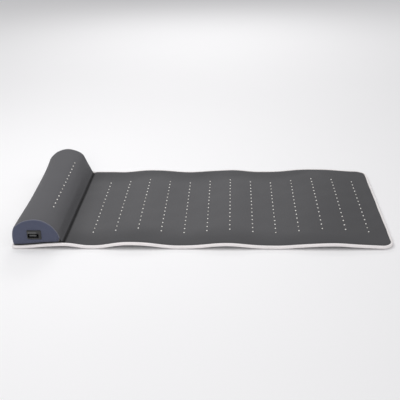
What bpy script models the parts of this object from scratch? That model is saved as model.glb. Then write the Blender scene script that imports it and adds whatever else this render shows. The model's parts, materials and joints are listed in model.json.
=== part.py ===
"""Heated infrared mat with a half-round bolster sewn on at its head end.

The mat lies along X with the bolster at -X and rests on the plane z = 0. Its front edge, on the
side of the socket, faces -Y. All the sheets of the mat lie in the same shallow waves, and two
fold lines across it divide it into a head, a middle and a foot panel. Each sheet is made flat,
cut, and then draped: every point is raised by the height of the waves under it.
"""
import math

import bmesh
import bpy
import numpy as np
from mathutils import Matrix

# Overall sizes, in metres
LENGTH = 0.900                  # along X, over the binding
WIDTH = 0.450                   # along Y, over the binding
HEAD_CORNER = 0.012             # corner radius of the outline at the bolster end
FOOT_CORNER = 0.030             # corner radius of the outline at the other end
GAP = 0.0003                    # left between pieces that touch

# Sheets of the mat, from the floor up
BOTTOM_COVER = 0.0008
FOAM = 0.0059
HEATER_FILM = 0.0004
TOP_COVER = 0.0010
FOAM_BASE = BOTTOM_COVER + GAP
FOAM_TOP = FOAM_BASE + FOAM
FILM_BASE = FOAM_TOP + GAP
FILM_TOP = FILM_BASE + HEATER_FILM
COVER_BASE = FILM_TOP + GAP
MAT = COVER_BASE + TOP_COVER    # thickness of the whole mat
BINDING = 0.0057                # width of the binding round the edge
FILM_MARGIN = 0.014             # from the outline to the edge of the heater film
FILM_START = 0.130              # from the head end to the heater film

# Rows of lenses across the mat
ROWS = 13
FIRST_ROW = 0.1855              # from the head end to the first row
LAST_ROW = 0.0509               # from the last row to the foot end
LENSES = 15                     # in each row
FRONT_MARGIN = 0.068            # from the front edge to the first lens
REAR_MARGIN = 0.087             # from the last lens to the rear edge
LENS_RADIUS = 0.0014
LENS_TIP = 0.0009               # radius of a lens at its top
LENS_STANDS = 0.0012            # height of a lens above the cover
STRIP_WIDTH = 0.009
STRIP_END = 0.009               # strip past its last lens
LENS_BASE = 0.0012              # thickness of the moulded base of a lens strip
EMITTER = 0.0005                # thickness of the flexible emitter strip
ROW_PITCH = (LENGTH - FIRST_ROW - LAST_ROW) / (ROWS - 1)
EMITTER_TOP = FILM_TOP - LENS_BASE - GAP
EMITTER_BASE = EMITTER_TOP - EMITTER
GROOVE_FLOOR = EMITTER_BASE - GAP

# Supply ribbon along the rear margin and under the bolster
RIBBON_WIDTH = 0.012
RIBBON_MARGIN = 0.039           # from the rear edge to the middle of the ribbon
RIBBON_TURN = 0.036             # from the head end to the ribbon's cross run
RISER_WIDTH = 0.010
RISER_FRONT = 0.032             # from the front edge to the riser
CUTOUT = (0.012, 0.008, 0.0032)  # thermal cut-out
CUTOUT_FROM_ROW = 0.0165

# Waves: from, crest and to, counted in row pitches from the first row, and height
WAVES = ((0.23, 1.80, 3.88, 0.0105), (4.06, 6.00, 7.50, 0.0090), (7.77, 10.33, 12.74, 0.0105))
CREASE_RISE = 0.0040            # height of the mat at the foot of the bolster
CREASE_START = 0.060            # from the head end, where the mat leaves the floor
CREASE_END = 0.172              # where it comes down again
STATION_HALF = 0.006            # half of the flat stretch that carries a strip

# Fold lines, each midway between two rows
ROWS_TO_FIRST_FOLD = 7
ROWS_TO_SECOND_FOLD = 10

# Bolster
BOLSTER_RADIUS = 0.056
BOLSTER_TOP = 0.079
BOLSTER_CENTRE = 0.0585         # from the head end
BOLSTER_INSET = 0.0065          # from the mat's side edges to the end caps
CREASE = 0.1245                 # from the head end to the stitched foot of the cover
ARC_STEP = math.radians(11.25)
ARC_STEPS = 15
BOLSTER_COVER = 0.0010
CAP = 0.003
BOLSTER_LENSES = 14
BOLSTER_FRONT_MARGIN = 0.0943
BOLSTER_REAR_MARGIN = 0.0836
BOLSTER_ROW_STEPS = 3           # arc steps from the top to the row of lenses

# Socket panel in the front end cap
PANEL_X = 0.0575                # from the head end
PANEL_Z = 0.0350
PANEL_WIDTH = 0.034
PANEL_HEIGHT = 0.024
FLANGE = 0.0008
FLANGE_LIP = 0.0015             # flange past the opening's body on each side
RECESS_MARGINS = (0.0017, 0.0063, 0.0038, 0.0096)     # left, right, below and above, in the panel
TONGUE_MARGINS = (0.0012, 0.0068, 0.0012, 0.0048)     # the same, in the recess
INDICATOR_MARGINS = (0.0018, 0.0112, 0.0164, 0.0052)  # the same, in the panel
SHELL_WALL = 0.001
SHELL_DEPTH = 0.012
TONGUE_DEPTH = 0.010
INDICATOR_STANDS = 0.0002

# Control box behind the socket
BOX_WIDTH = 0.060
BOX_DEPTH = 0.050
BOX_BASE = 0.018
BOX_HEIGHT = 0.036
BOX_WALL = 0.0016
BOARD = 0.0016
BOARD_LIFT = 0.0026             # of the board above the tray's floor
BOARD_MARGIN = 0.0034           # from the tray's inner walls to the board

HEAD = -LENGTH / 2
FRONT = -WIDTH / 2
REAR = WIDTH / 2
FIRST_FOLD = HEAD + FIRST_ROW + (ROWS_TO_FIRST_FOLD - 0.5) * ROW_PITCH
SECOND_FOLD = HEAD + FIRST_ROW + (ROWS_TO_SECOND_FOLD - 0.5) * ROW_PITCH
HIGHEST_WAVE = max(wave[3] for wave in WAVES)
FIRST_AXIS_Z = MAT + LENS_STANDS + HIGHEST_WAVE + GAP
SECOND_AXIS_Z = -GAP
ARC_X = HEAD + BOLSTER_CENTRE
ARC_Z = BOLSTER_TOP - BOLSTER_RADIUS
CAP_FACE = FRONT + BOLSTER_INSET
CAP_BACK = CAP_FACE + CAP
OVERSIZE = 0.010                # by which cutters reach past what they cut

CHARCOAL = (0.110, 0.109, 0.118)
BINDING_GREY = (0.69, 0.66, 0.65)
NAVY = (0.075, 0.080, 0.115)
BLACK = (0.012, 0.012, 0.012)
PEARL = (0.86, 0.83, 0.78)


def smooth_rise(u):
    """Height of the waves at distance u from the head end: half cosines up and down."""
    spans = [(CREASE_START, CREASE, CREASE_END, CREASE_RISE)]
    for start, crest, end, height in WAVES:
        spans.append((*(FIRST_ROW + row * ROW_PITCH for row in (start, crest, end)), height))
    total = 0.0
    for start, crest, end, height in spans:
        rising = min(max((u - start) / (crest - start), 0.0), 1.0)
        falling = min(max((end - u) / (end - crest), 0.0), 1.0)
        share = min(rising, falling)
        total += height * 0.5 * (1 - math.cos(math.pi * share))
    return total


def wave_stations():
    """X of every line across the mat where its slope may change."""
    lines = [CREASE_START, (CREASE_START + CREASE) / 2, CREASE, (CREASE + CREASE_END) / 2]
    for row in range(ROWS):
        middle = FIRST_ROW + row * ROW_PITCH
        lines += [middle - STATION_HALF, middle + STATION_HALF]
        if row < ROWS - 1:
            lines.append(middle + ROW_PITCH / 2)
    return [HEAD + line for line in sorted(lines)]


STATIONS = wave_stations()
STATION_RISES = [smooth_rise(x - HEAD) for x in STATIONS]


def rise(x):
    """Height of the draped mat above the floor at X."""
    return float(np.interp(x, STATIONS, STATION_RISES))


def collection(name):
    made = bpy.data.collections.new(name)
    bpy.context.scene.collection.children.link(made)
    return made


def clear_scene():
    for item in list(bpy.data.objects):
        bpy.data.objects.remove(item, do_unlink=True)


clear_scene()
MODEL = collection("heated_mat")
CUTTERS = collection("cutters")


def finish(item, colour, roughness, metallic=0.0):
    """Give a piece its own Principled material."""
    material = bpy.data.materials.new(item.name + "_finish")
    material.use_nodes = True
    shader = material.node_tree.nodes["Principled BSDF"]
    shader.inputs["Base Color"].default_value = (*colour, 1.0)
    shader.inputs["Roughness"].default_value = roughness
    shader.inputs["Metallic"].default_value = metallic
    item.data.materials.clear()
    item.data.materials.append(material)
    return item


def mesh_object(name, bm, group):
    mesh = bpy.data.meshes.new(name)
    bm.to_mesh(mesh)
    bm.free()
    item = bpy.data.objects.new(name, mesh)
    group.objects.link(item)
    if group is CUTTERS:
        item.hide_render = True
        item.display_type = "WIRE"
    return item


def bake(item):
    """Replace an object's mesh by what its modifiers make of it."""
    depsgraph = bpy.context.evaluated_depsgraph_get()
    mesh = bpy.data.meshes.new_from_object(item.evaluated_get(depsgraph))
    item.modifiers.clear()
    item.data = mesh
    return item


def shape_with(item, tool, operation):
    """Boolean with a tool object, which is used up."""
    modifier = item.modifiers.new(operation.lower(), "BOOLEAN")
    modifier.operation = operation
    modifier.solver = "EXACT"
    modifier.object = tool
    bake(item)
    bpy.data.objects.remove(tool, do_unlink=True)
    return item


def block(name, x_span, y_span, z_span, group=None):
    """Block with a line across it at each wave station, so that it can be draped."""
    inside = [x for x in STATIONS if x_span[0] + GAP / 4 < x < x_span[1] - GAP / 4]
    lines = [x_span[0], *inside, x_span[1]]
    bm = bmesh.new()
    bmesh.ops.create_grid(bm, x_segments=len(lines) - 1, y_segments=1, size=0.5)
    columns = sorted({round(vert.co.x, 5) for vert in bm.verts})
    for vert in bm.verts:
        side = y_span[0] if vert.co.y < 0 else y_span[1]
        vert.co = (lines[columns.index(round(vert.co.x, 5))], side, z_span[0])
    item = mesh_object(name, bm, group or MODEL)
    thickness = item.modifiers.new("thickness", "SOLIDIFY")
    thickness.thickness = z_span[1] - z_span[0]
    thickness.offset = 1
    return bake(item)


def tool_block(x_span, y_span, z_span):
    return block("tool", x_span, y_span, z_span, CUTTERS)


def outline_object(name, points, half_depth):
    """Flat closed outline in the local XY plane, as a solid of twice half_depth."""
    curve = bpy.data.curves.new(name, "CURVE")
    curve.dimensions = "2D"
    curve.fill_mode = "BOTH"
    curve.extrude = half_depth
    spline = curve.splines.new("POLY")
    spline.points.add(len(points) - 1)
    for spot, (x, y) in zip(spline.points, points):
        spot.co = (x, y, 0, 1)
    spline.use_cyclic_u = True
    drawn = bpy.data.objects.new(name, curve)
    MODEL.objects.link(drawn)
    return curve_to_mesh(drawn)


def curve_to_mesh(drawn):
    """Turn a curve object into a welded mesh object of the same name."""
    depsgraph = bpy.context.evaluated_depsgraph_get()
    mesh = bpy.data.meshes.new_from_object(drawn.evaluated_get(depsgraph))
    name = drawn.name
    place = drawn.matrix_world.copy()
    bpy.data.objects.remove(drawn, do_unlink=True)
    bm = bmesh.new()
    bm.from_mesh(mesh)
    bmesh.ops.remove_doubles(bm, verts=bm.verts, dist=0.00001)
    bmesh.ops.recalc_face_normals(bm, faces=bm.faces)
    item = mesh_object(name, bm, MODEL)
    item.name = name
    item.data.transform(place)
    return item


def drape(item):
    """Raise every point by the height of the waves under it."""
    for vert in item.data.vertices:
        vert.co.z += rise(vert.co.x)
    return item


def corner_arc(centre_x, centre_y, radius, start):
    """Quarter circle, anticlockwise from the angle start, in degrees."""
    angles = np.radians(np.linspace(start, start + 90, 6))
    return [(centre_x + radius * math.cos(a), centre_y + radius * math.sin(a)) for a in angles]


def rounded_outline(inset):
    """Anticlockwise outline of the mat, moved inwards by inset."""
    foot_x, side_y = LENGTH / 2 - FOOT_CORNER, WIDTH / 2 - FOOT_CORNER
    head_x, head_y = HEAD + HEAD_CORNER, WIDTH / 2 - HEAD_CORNER
    foot, head = FOOT_CORNER - inset, HEAD_CORNER - inset
    return (corner_arc(foot_x, -side_y, foot, -90) + corner_arc(foot_x, side_y, foot, 0)
            + corner_arc(head_x, head_y, head, 90) + corner_arc(head_x, -head_y, head, 180))


PANELS = {
    "head": (HEAD, FIRST_FOLD - GAP / 2),
    "middle": (FIRST_FOLD + GAP / 2, SECOND_FOLD - GAP / 2),
    "foot": (SECOND_FOLD + GAP / 2, LENGTH / 2),
}
ROWS_OF_PANEL = {
    "head": range(0, ROWS_TO_FIRST_FOLD),
    "middle": range(ROWS_TO_FIRST_FOLD, ROWS_TO_SECOND_FOLD),
    "foot": range(ROWS_TO_SECOND_FOLD, ROWS),
}


def row_x(row):
    return HEAD + FIRST_ROW + row * ROW_PITCH


def spread(front, rear, count):
    """Y of count lenses, spread evenly between two margins."""
    return np.linspace(FRONT + front, REAR - rear, count)


ROW_Y = spread(FRONT_MARGIN, REAR_MARGIN, LENSES)
BOLSTER_ROW_Y = spread(BOLSTER_FRONT_MARGIN, BOLSTER_REAR_MARGIN, BOLSTER_LENSES)
RIBBON_Y = (REAR - RIBBON_MARGIN - RIBBON_WIDTH / 2, REAR - RIBBON_MARGIN + RIBBON_WIDTH / 2)
RIBBON_TURN_X = (HEAD + RIBBON_TURN - RIBBON_WIDTH / 2, HEAD + RIBBON_TURN + RIBBON_WIDTH / 2)
RIBBON_FRONT = FRONT + RISER_FRONT - RISER_WIDTH / 2
RISER_X = (HEAD + RIBBON_TURN - RISER_WIDTH / 2, HEAD + RIBBON_TURN + RISER_WIDTH / 2)
RISER_Y = (FRONT + RISER_FRONT, FRONT + RISER_FRONT + 2 * EMITTER)


def grown(span, by=GAP):
    return (span[0] - by, span[1] + by)


def hex_posts(name, spots, radius, top_radius, z_span, group):
    """One mesh of upright six-sided posts."""
    bm = bmesh.new()
    for x, y in spots:
        place = Matrix.Translation((x, y, sum(z_span) / 2))
        bmesh.ops.create_cone(bm, cap_ends=True, segments=6, radius1=radius, radius2=top_radius,
                              depth=z_span[1] - z_span[0], matrix=place)
    return mesh_object(name, bm, group)


def sheet(name, panel, z_span):
    """Flat sheet of one panel, with the mat's outline inside the binding."""
    low, high = PANELS[panel]
    side = (-WIDTH, WIDTH)
    reach = (low - OVERSIZE if panel == "head" else low, high + OVERSIZE if panel == "foot" else high)
    if panel == "middle":
        half = WIDTH / 2 - BINDING - GAP
        return block(name, reach, (-half, half), z_span)
    item = block(name, reach, side, z_span)
    trimmer = outline_object("outline", rounded_outline(BINDING + GAP), MAT + OVERSIZE)
    return shape_with(item, trimmer, "INTERSECT")


def make_bottom_cover(panel):
    """Smooth backing sheet that lies on the floor."""
    item = sheet(f"bottom_cover_{panel}", panel, (0, BOTTOM_COVER))
    return finish(drape(item), CHARCOAL, 0.8)


def make_foam_core(panel):
    """Foam slab, with grooves for the strips and the supply ribbon in its upper side."""
    item = sheet(f"foam_core_{panel}", panel, (FOAM_BASE, FOAM_TOP))
    depth = (GROOVE_FLOOR, FOAM_TOP + OVERSIZE)
    for row in ROWS_OF_PANEL[panel]:
        span = grown((row_x(row) - STRIP_WIDTH / 2, row_x(row) + STRIP_WIDTH / 2))
        shape_with(item, tool_block(span, (ROW_Y[0] - STRIP_END - GAP, RIBBON_Y[0]), depth), "DIFFERENCE")
    low, high = PANELS[panel]
    start = RIBBON_TURN_X[0] - GAP if panel == "head" else low - OVERSIZE
    end = row_x(ROWS - 1) + STRIP_WIDTH if panel == "foot" else high + OVERSIZE
    shape_with(item, tool_block((start, end), grown(RIBBON_Y), depth), "DIFFERENCE")
    if panel == "head":
        cross_run = tool_block(grown(RIBBON_TURN_X), (RIBBON_FRONT - GAP, REAR - RIBBON_MARGIN), depth)
        shape_with(item, cross_run, "DIFFERENCE")
        x_span, y_span, z_span = cutout_place()
        pocket = tool_block(grown(x_span), grown(y_span), (z_span[0] - GAP, FOAM_TOP + OVERSIZE))
        shape_with(item, pocket, "DIFFERENCE")
    return finish(drape(item), (0.55, 0.54, 0.50), 0.95)


def make_heater_film(panel):
    """Carbon heater film, slotted where the lens strips lie."""
    low, high = PANELS[panel]
    low = HEAD + FILM_START if panel == "head" else low
    high = LENGTH / 2 - FILM_MARGIN if panel == "foot" else high
    half = WIDTH / 2 - FILM_MARGIN
    item = block(f"heater_film_{panel}", (low, high), (-half, half), (FILM_BASE, FILM_TOP))
    for row in ROWS_OF_PANEL[panel]:
        span = grown((row_x(row) - STRIP_WIDTH / 2, row_x(row) + STRIP_WIDTH / 2))
        length = grown((ROW_Y[0] - STRIP_END, ROW_Y[-1] + STRIP_END))
        shape_with(item, tool_block(span, length, (0, MAT)), "DIFFERENCE")
    return finish(drape(item), (0.02, 0.02, 0.022), 0.5)


def make_top_cover(panel):
    """Woven cover, pierced for every lens."""
    item = sheet(f"top_cover_{panel}", panel, (COVER_BASE, MAT))
    spots = [(row_x(row), y) for row in ROWS_OF_PANEL[panel] for y in ROW_Y]
    radius = LENS_RADIUS + GAP
    holes = hex_posts("holes", spots, radius, radius, (FILM_BASE, MAT + OVERSIZE), CUTTERS)
    shape_with(item, holes, "DIFFERENCE")
    if panel == "head":
        slot = tool_block(grown(RISER_X), grown(RISER_Y), (FILM_BASE, MAT + OVERSIZE))
        shape_with(item, slot, "DIFFERENCE")
    return finish(drape(item), CHARCOAL, 0.9)


def make_lens_strip(name, x, row_y):
    """Moulded translucent strip with a low lens for each emitter, lying flat."""
    span = (x - STRIP_WIDTH / 2, x + STRIP_WIDTH / 2)
    length = (row_y[0] - STRIP_END, row_y[-1] + STRIP_END)
    item = block(name, span, length, (FILM_TOP - LENS_BASE, FILM_TOP))
    posts = hex_posts("posts", [(x, y) for y in row_y], LENS_RADIUS, LENS_TIP,
                      (FILM_TOP - LENS_BASE / 2, MAT + LENS_STANDS), CUTTERS)
    shape_with(item, posts, "UNION")
    return finish(item, PEARL, 0.25)


def make_emitter_strip(name, x, length):
    """Flexible circuit strip under a lens strip, lying flat."""
    span = (x - STRIP_WIDTH / 2, x + STRIP_WIDTH / 2)
    return finish(block(name, span, length, (EMITTER_BASE, EMITTER_TOP)), (0.80, 0.80, 0.78), 0.4)


def make_ribbon(panel):
    """Supply ribbon along the rear margin; the head's part turns and climbs to the box."""
    low, high = PANELS[panel]
    start = RIBBON_TURN_X[0] if panel == "head" else low
    end = row_x(ROWS - 1) + STRIP_WIDTH / 2 if panel == "foot" else high
    level = (EMITTER_BASE, EMITTER_TOP)
    item = block(f"bus_ribbon_{panel}", (start, end), RIBBON_Y, level)
    if panel == "head":
        middle = REAR - RIBBON_MARGIN
        shape_with(item, tool_block(RIBBON_TURN_X, (RIBBON_FRONT, middle), level), "UNION")
        riser = tool_block(RISER_X, RISER_Y, ((EMITTER_BASE + EMITTER_TOP) / 2, board_base() - GAP))
        shape_with(item, riser, "UNION")
    return finish(drape(item), (0.72, 0.45, 0.18), 0.4)


def cutout_place():
    """Spans of the thermal cut-out, just under the heater film beside the first row."""
    x = row_x(0) + CUTOUT_FROM_ROW
    y = (ROW_Y[0] + ROW_Y[-1]) / 2
    top = FOAM_TOP - GAP
    return ((x - CUTOUT[0] / 2, x + CUTOUT[0] / 2), (y - CUTOUT[1] / 2, y + CUTOUT[1] / 2),
            (top - CUTOUT[2], top))


def make_thermal_cutout():
    """Flat thermal switch that opens the heater's supply if it gets too hot."""
    item = block("thermal_cutout", *cutout_place())
    return finish(drape(item), (0.75, 0.74, 0.72), 0.4)


def binding_profile():
    """Closed cross section of the binding, with its corners taken off."""
    half, height, chamfer = BINDING / 2, MAT / 2, BINDING / 4
    corners = [(half, height - chamfer), (half - chamfer, height)]
    corners += [(-x, y) for x, y in reversed(corners)]
    corners += [(x, -y) for x, y in reversed(corners)]
    curve = bpy.data.curves.new("binding_profile", "CURVE")
    curve.dimensions = "2D"
    spline = curve.splines.new("POLY")
    spline.points.add(len(corners) - 1)
    for spot, (x, y) in zip(spline.points, corners):
        spot.co = (x, y, 0, 1)
    spline.use_cyclic_u = True
    profile = bpy.data.objects.new("binding_profile", curve)
    CUTTERS.objects.link(profile)
    profile.hide_render = True
    return profile


def make_binding(name, path):
    """Rounded binding that follows a path along the edge of the mat."""
    curve = bpy.data.curves.new(name, "CURVE")
    curve.dimensions = "3D"
    curve.twist_mode = "Z_UP"
    curve.bevel_mode = "OBJECT"
    curve.bevel_object = binding_profile()
    curve.use_fill_caps = True
    spline = curve.splines.new("POLY")
    spline.points.add(len(path) - 1)
    for spot, (x, y) in zip(spline.points, path):
        spot.co = (x, y, MAT / 2, 1)
    profile = curve.bevel_object
    drawn = bpy.data.objects.new(name, curve)
    MODEL.objects.link(drawn)
    item = curve_to_mesh(drawn)
    bpy.data.objects.remove(profile, do_unlink=True)
    return finish(drape(item), BINDING_GREY, 0.85)


def edge_run(low, high, y, forwards=True):
    """Points along a side edge, with one at each wave station."""
    xs = [low, *(x for x in STATIONS if low + GAP < x < high - GAP), high]
    run = [(x, y) for x in xs]
    return run if forwards else run[::-1]


def make_bindings():
    """Binding in four lengths: round the head, along both sides of the middle, round the foot."""
    inset = BINDING / 2
    outline = rounded_outline(inset)
    foot_arcs, head_arcs = outline[:12], outline[12:]
    side = WIDTH / 2 - inset
    head_low, head_high = HEAD + HEAD_CORNER, PANELS["head"][1]
    foot_low, foot_high = PANELS["foot"][0], LENGTH / 2 - FOOT_CORNER
    rear_run = edge_run(head_low, head_high, side, forwards=False)[:-1]
    head_path = rear_run + head_arcs + edge_run(head_low, head_high, -side)[1:]
    front_run = edge_run(foot_low, foot_high, -side)[:-1]
    foot_path = front_run + foot_arcs + edge_run(foot_low, foot_high, side, forwards=False)[1:]
    make_binding("edge_binding_head", head_path)
    make_binding("edge_binding_middle_front", edge_run(*PANELS["middle"], -side))
    make_binding("edge_binding_middle_back", edge_run(*PANELS["middle"], side, forwards=False))
    make_binding("edge_binding_foot", foot_path)


def arch(inset):
    """Points of the bolster's arch, from its left side over the top, moved inwards by inset."""
    radius = BOLSTER_RADIUS - inset
    angles = (np.arange(ARC_STEPS + 1) - ARC_STEPS / 2) * ARC_STEP
    return [(ARC_X + radius * math.sin(a), ARC_Z + radius * math.cos(a)) for a in angles]


def arch_solid(name, inset, y_span):
    """Solid of the arch's shape that stands on the waves of the mat."""
    points = arch(inset)
    left, right = points[0][0], points[-1][0]
    feet = [right, *(x for x in reversed(STATIONS) if left < x < right), left]
    points += [(x, MAT + rise(x) + GAP) for x in feet]
    item = outline_object(name, points, (y_span[1] - y_span[0]) / 2)
    middle = (y_span[0] + y_span[1]) / 2
    item.data.transform(Matrix.Translation((0, middle, 0)) @ Matrix.Rotation(math.pi / 2, 4, "X"))
    return item


def bolster_row_place():
    """Carries a flat strip to its seat under the bolster's cover."""
    facet = BOLSTER_RADIUS * math.cos(ARC_STEP / 2) - BOLSTER_COVER
    return (Matrix.Translation((ARC_X, 0, ARC_Z))
            @ Matrix.Rotation(BOLSTER_ROW_STEPS * ARC_STEP, 4, "Y")
            @ Matrix.Translation((0, 0, facet - COVER_BASE)))


def placed(item, place):
    item.data.transform(place)
    return item


def make_bolster_cover():
    """Woven cover over the foam, open below, flared where it is stitched to the mat."""
    points = arch(0)
    left = points[0][0]
    crease_x = HEAD + CREASE
    flare = (crease_x - points[-1][0]) / 2
    landing = MAT + rise(crease_x) + GAP + BOLSTER_COVER
    profile = [(left, MAT + GAP)] + points
    profile += [(crease_x - flare, landing + flare), (crease_x, landing)]
    bm = bmesh.new()
    row = [bm.verts.new((x, CAP_FACE, z)) for x, z in profile]
    edges = [bm.edges.new(pair) for pair in zip(row, row[1:])]
    drawn = bmesh.ops.extrude_edge_only(bm, edges=edges)["geom"]
    verts = [element for element in drawn if isinstance(element, bmesh.types.BMVert)]
    bmesh.ops.translate(bm, verts=verts, vec=(0, -2 * CAP_FACE, 0))
    item = mesh_object("bolster_cover", bm, MODEL)
    thickness = item.modifiers.new("thickness", "SOLIDIFY")
    thickness.thickness = BOLSTER_COVER
    thickness.offset = 1
    thickness.use_even_offset = True
    bake(item)
    radius = LENS_RADIUS + GAP
    holes = hex_posts("holes", [(0, y) for y in BOLSTER_ROW_Y], radius, radius,
                      (FILM_BASE, MAT + OVERSIZE), CUTTERS)
    shape_with(item, placed(holes, bolster_row_place()), "DIFFERENCE")
    return finish(item, CHARCOAL, 0.9)


def box_spans(grow=0.0):
    """Outer spans of the control box."""
    x = HEAD + PANEL_X
    return ((x - BOX_WIDTH / 2 - grow, x + BOX_WIDTH / 2 + grow),
            (CAP_BACK + GAP, CAP_BACK + GAP + BOX_DEPTH + grow),
            (BOX_BASE - grow, BOX_BASE + BOX_HEIGHT + grow))


def board_base():
    return BOX_BASE + BOX_WALL + BOARD_LIFT


def make_bolster_foam():
    """Foam half-round with a pocket for the control box and a groove for its strips."""
    span = (CAP_BACK + GAP, -CAP_BACK - GAP)
    item = arch_solid("bolster_foam", BOLSTER_COVER + GAP, span)
    x_span, y_span, z_span = box_spans(grow=2 * GAP)
    lid_room = BOX_WALL + GAP
    pocket = tool_block(x_span, (CAP_FACE, y_span[1]), (z_span[0], z_span[1] + lid_room))
    shape_with(item, pocket, "DIFFERENCE")
    riser_slot = tool_block(grown(RISER_X), grown(RISER_Y), (0, BOX_BASE))
    shape_with(item, riser_slot, "DIFFERENCE")
    groove = tool_block(grown((-STRIP_WIDTH / 2, STRIP_WIDTH / 2)),
                        (BOLSTER_ROW_Y[0] - STRIP_END - GAP, BOLSTER_ROW_Y[-1] + STRIP_END + GAP),
                        (GROOVE_FLOOR, MAT))
    shape_with(item, placed(groove, bolster_row_place()), "DIFFERENCE")
    return finish(item, (0.55, 0.54, 0.50), 0.95)


def panel_block(name, spans, y_span, group=None):
    """Block at left, right, low and high distances from the middle of the socket panel."""
    left, right, low, high = spans
    x = HEAD + PANEL_X
    return block(name, (x + left, x + right), y_span, (PANEL_Z + low, PANEL_Z + high), group)


def panel_tool(spans, y_span):
    return panel_block("tool", spans, y_span, CUTTERS)


def widened(spans, by=GAP):
    left, right, low, high = spans
    return (left - by, right + by, low - by, high + by)


def inside(spans, margins):
    """Spans of a smaller rectangle, given its margins in a larger one."""
    left, right, low, high = spans
    return (left + margins[0], right - margins[1], low + margins[2], high - margins[3])


FLANGE_SPANS = (-PANEL_WIDTH / 2, PANEL_WIDTH / 2, -PANEL_HEIGHT / 2, PANEL_HEIGHT / 2)
BODY_SPANS = widened(FLANGE_SPANS, -FLANGE_LIP)
RECESS = inside(FLANGE_SPANS, RECESS_MARGINS)
TONGUE = inside(RECESS, TONGUE_MARGINS)
INDICATOR = inside(FLANGE_SPANS, INDICATOR_MARGINS)
SHELL_SPANS = widened(RECESS, SHELL_WALL + GAP / 2)
FLANGE_FACE = CAP_FACE - GAP - FLANGE
SHELL_FRONT = CAP_BACK + GAP
SHELL_BACK = SHELL_FRONT + SHELL_DEPTH


def make_end_caps():
    """Padded end panels of the bolster; the front one is open for the socket panel."""
    front = arch_solid("front_end_cap", BOLSTER_COVER + GAP, (CAP_FACE, CAP_BACK))
    opening = panel_tool(widened(BODY_SPANS), (CAP_FACE - OVERSIZE, CAP_BACK + OVERSIZE))
    finish(shape_with(front, opening, "DIFFERENCE"), NAVY, 0.7)
    rear = arch_solid("rear_end_cap", BOLSTER_COVER + GAP, (-CAP_BACK, -CAP_FACE))
    finish(rear, NAVY, 0.7)


def make_socket_panel():
    """Black bezel, the socket's shell and contact tongue, and the indicator strip."""
    bezel = panel_block("socket_bezel", FLANGE_SPANS, (FLANGE_FACE, FLANGE_FACE + FLANGE))
    shape_with(bezel, panel_tool(BODY_SPANS, (FLANGE_FACE + FLANGE / 2, CAP_BACK)), "UNION")
    through = (FLANGE_FACE - OVERSIZE, CAP_BACK + OVERSIZE)
    shape_with(bezel, panel_tool(RECESS, through), "DIFFERENCE")
    shape_with(bezel, panel_tool(widened(INDICATOR), through), "DIFFERENCE")
    finish(bezel, BLACK, 0.4)
    shell = panel_block("socket_shell", SHELL_SPANS, (SHELL_FRONT, SHELL_BACK))
    hollow = panel_tool(widened(RECESS, GAP / 2), (SHELL_FRONT - OVERSIZE, SHELL_BACK - SHELL_WALL))
    finish(shape_with(shell, hollow, "DIFFERENCE"), BLACK, 0.5)
    tongue_back = SHELL_BACK - SHELL_WALL - GAP
    tongue = panel_block("socket_tongue", TONGUE, (tongue_back - TONGUE_DEPTH, tongue_back))
    finish(tongue, (0.30, 0.30, 0.29), 0.35, 0.6)
    indicator = panel_block("indicator_lens", INDICATOR, (FLANGE_FACE - INDICATOR_STANDS, CAP_BACK))
    finish(indicator, (0.35, 0.35, 0.34), 0.3)


def make_control_box():
    """Tray and lid behind the socket, with the control board inside."""
    x_span, y_span, z_span = box_spans()
    tray = block("control_box_tray", x_span, y_span, z_span)
    inner = [grown(x_span, -BOX_WALL), grown(y_span, -BOX_WALL), (BOX_BASE + BOX_WALL, 1)]
    shape_with(tray, tool_block(*inner), "DIFFERENCE")
    window = panel_tool(widened(SHELL_SPANS), (y_span[0] - OVERSIZE, y_span[0] + BOX_WALL + GAP))
    shape_with(tray, window, "DIFFERENCE")
    riser_slot = tool_block(grown(RISER_X), grown(RISER_Y), (0, BOX_BASE + BOX_WALL + GAP))
    shape_with(tray, riser_slot, "DIFFERENCE")
    finish(tray, (0.04, 0.04, 0.045), 0.5)
    lid_base = z_span[1] + GAP
    lid = block("control_box_lid", x_span, y_span, (lid_base, lid_base + BOX_WALL))
    finish(lid, (0.04, 0.04, 0.045), 0.5)
    make_control_board(grown(inner[0], -BOARD_MARGIN), grown(inner[1], -BOARD_MARGIN))


def make_control_board(x_span, y_span):
    """Circuit board with a relay and a smoothing capacitor behind the socket."""
    top = board_base() + BOARD
    board = block("control_board", x_span, y_span, (board_base(), top))
    behind = SHELL_BACK + 4 * GAP
    relay = (x_span[0] + 0.004, x_span[0] + 0.022)
    shape_with(board, tool_block(relay, (behind, behind + 0.014), (top - GAP, top + 0.012)), "UNION")
    bm = bmesh.new()
    place = Matrix.Translation((x_span[1] - 0.010, behind + 0.007, top + 0.006 - GAP))
    bmesh.ops.create_cone(bm, cap_ends=True, segments=12, radius1=0.005, radius2=0.005,
                          depth=0.012, matrix=place)
    shape_with(board, mesh_object("capacitor", bm, CUTTERS), "UNION")
    finish(board, (0.02, 0.12, 0.05), 0.5)


def make_strips():
    """A lens strip and an emitter strip for every row of the mat, and a pair for the bolster."""
    emitter_length = (ROW_Y[0] - STRIP_END, RIBBON_Y[0] - GAP)
    for row in range(ROWS):
        drape(make_lens_strip(f"lens_strip_{row + 1:02d}", row_x(row), ROW_Y))
        drape(make_emitter_strip(f"emitter_strip_{row + 1:02d}", row_x(row), emitter_length))
    place = bolster_row_place()
    placed(make_lens_strip("bolster_lens_strip", 0, BOLSTER_ROW_Y), place)
    length = (BOLSTER_ROW_Y[0] - STRIP_END, BOLSTER_ROW_Y[-1] + STRIP_END)
    placed(make_emitter_strip("bolster_emitter_strip", 0, length), place)


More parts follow.
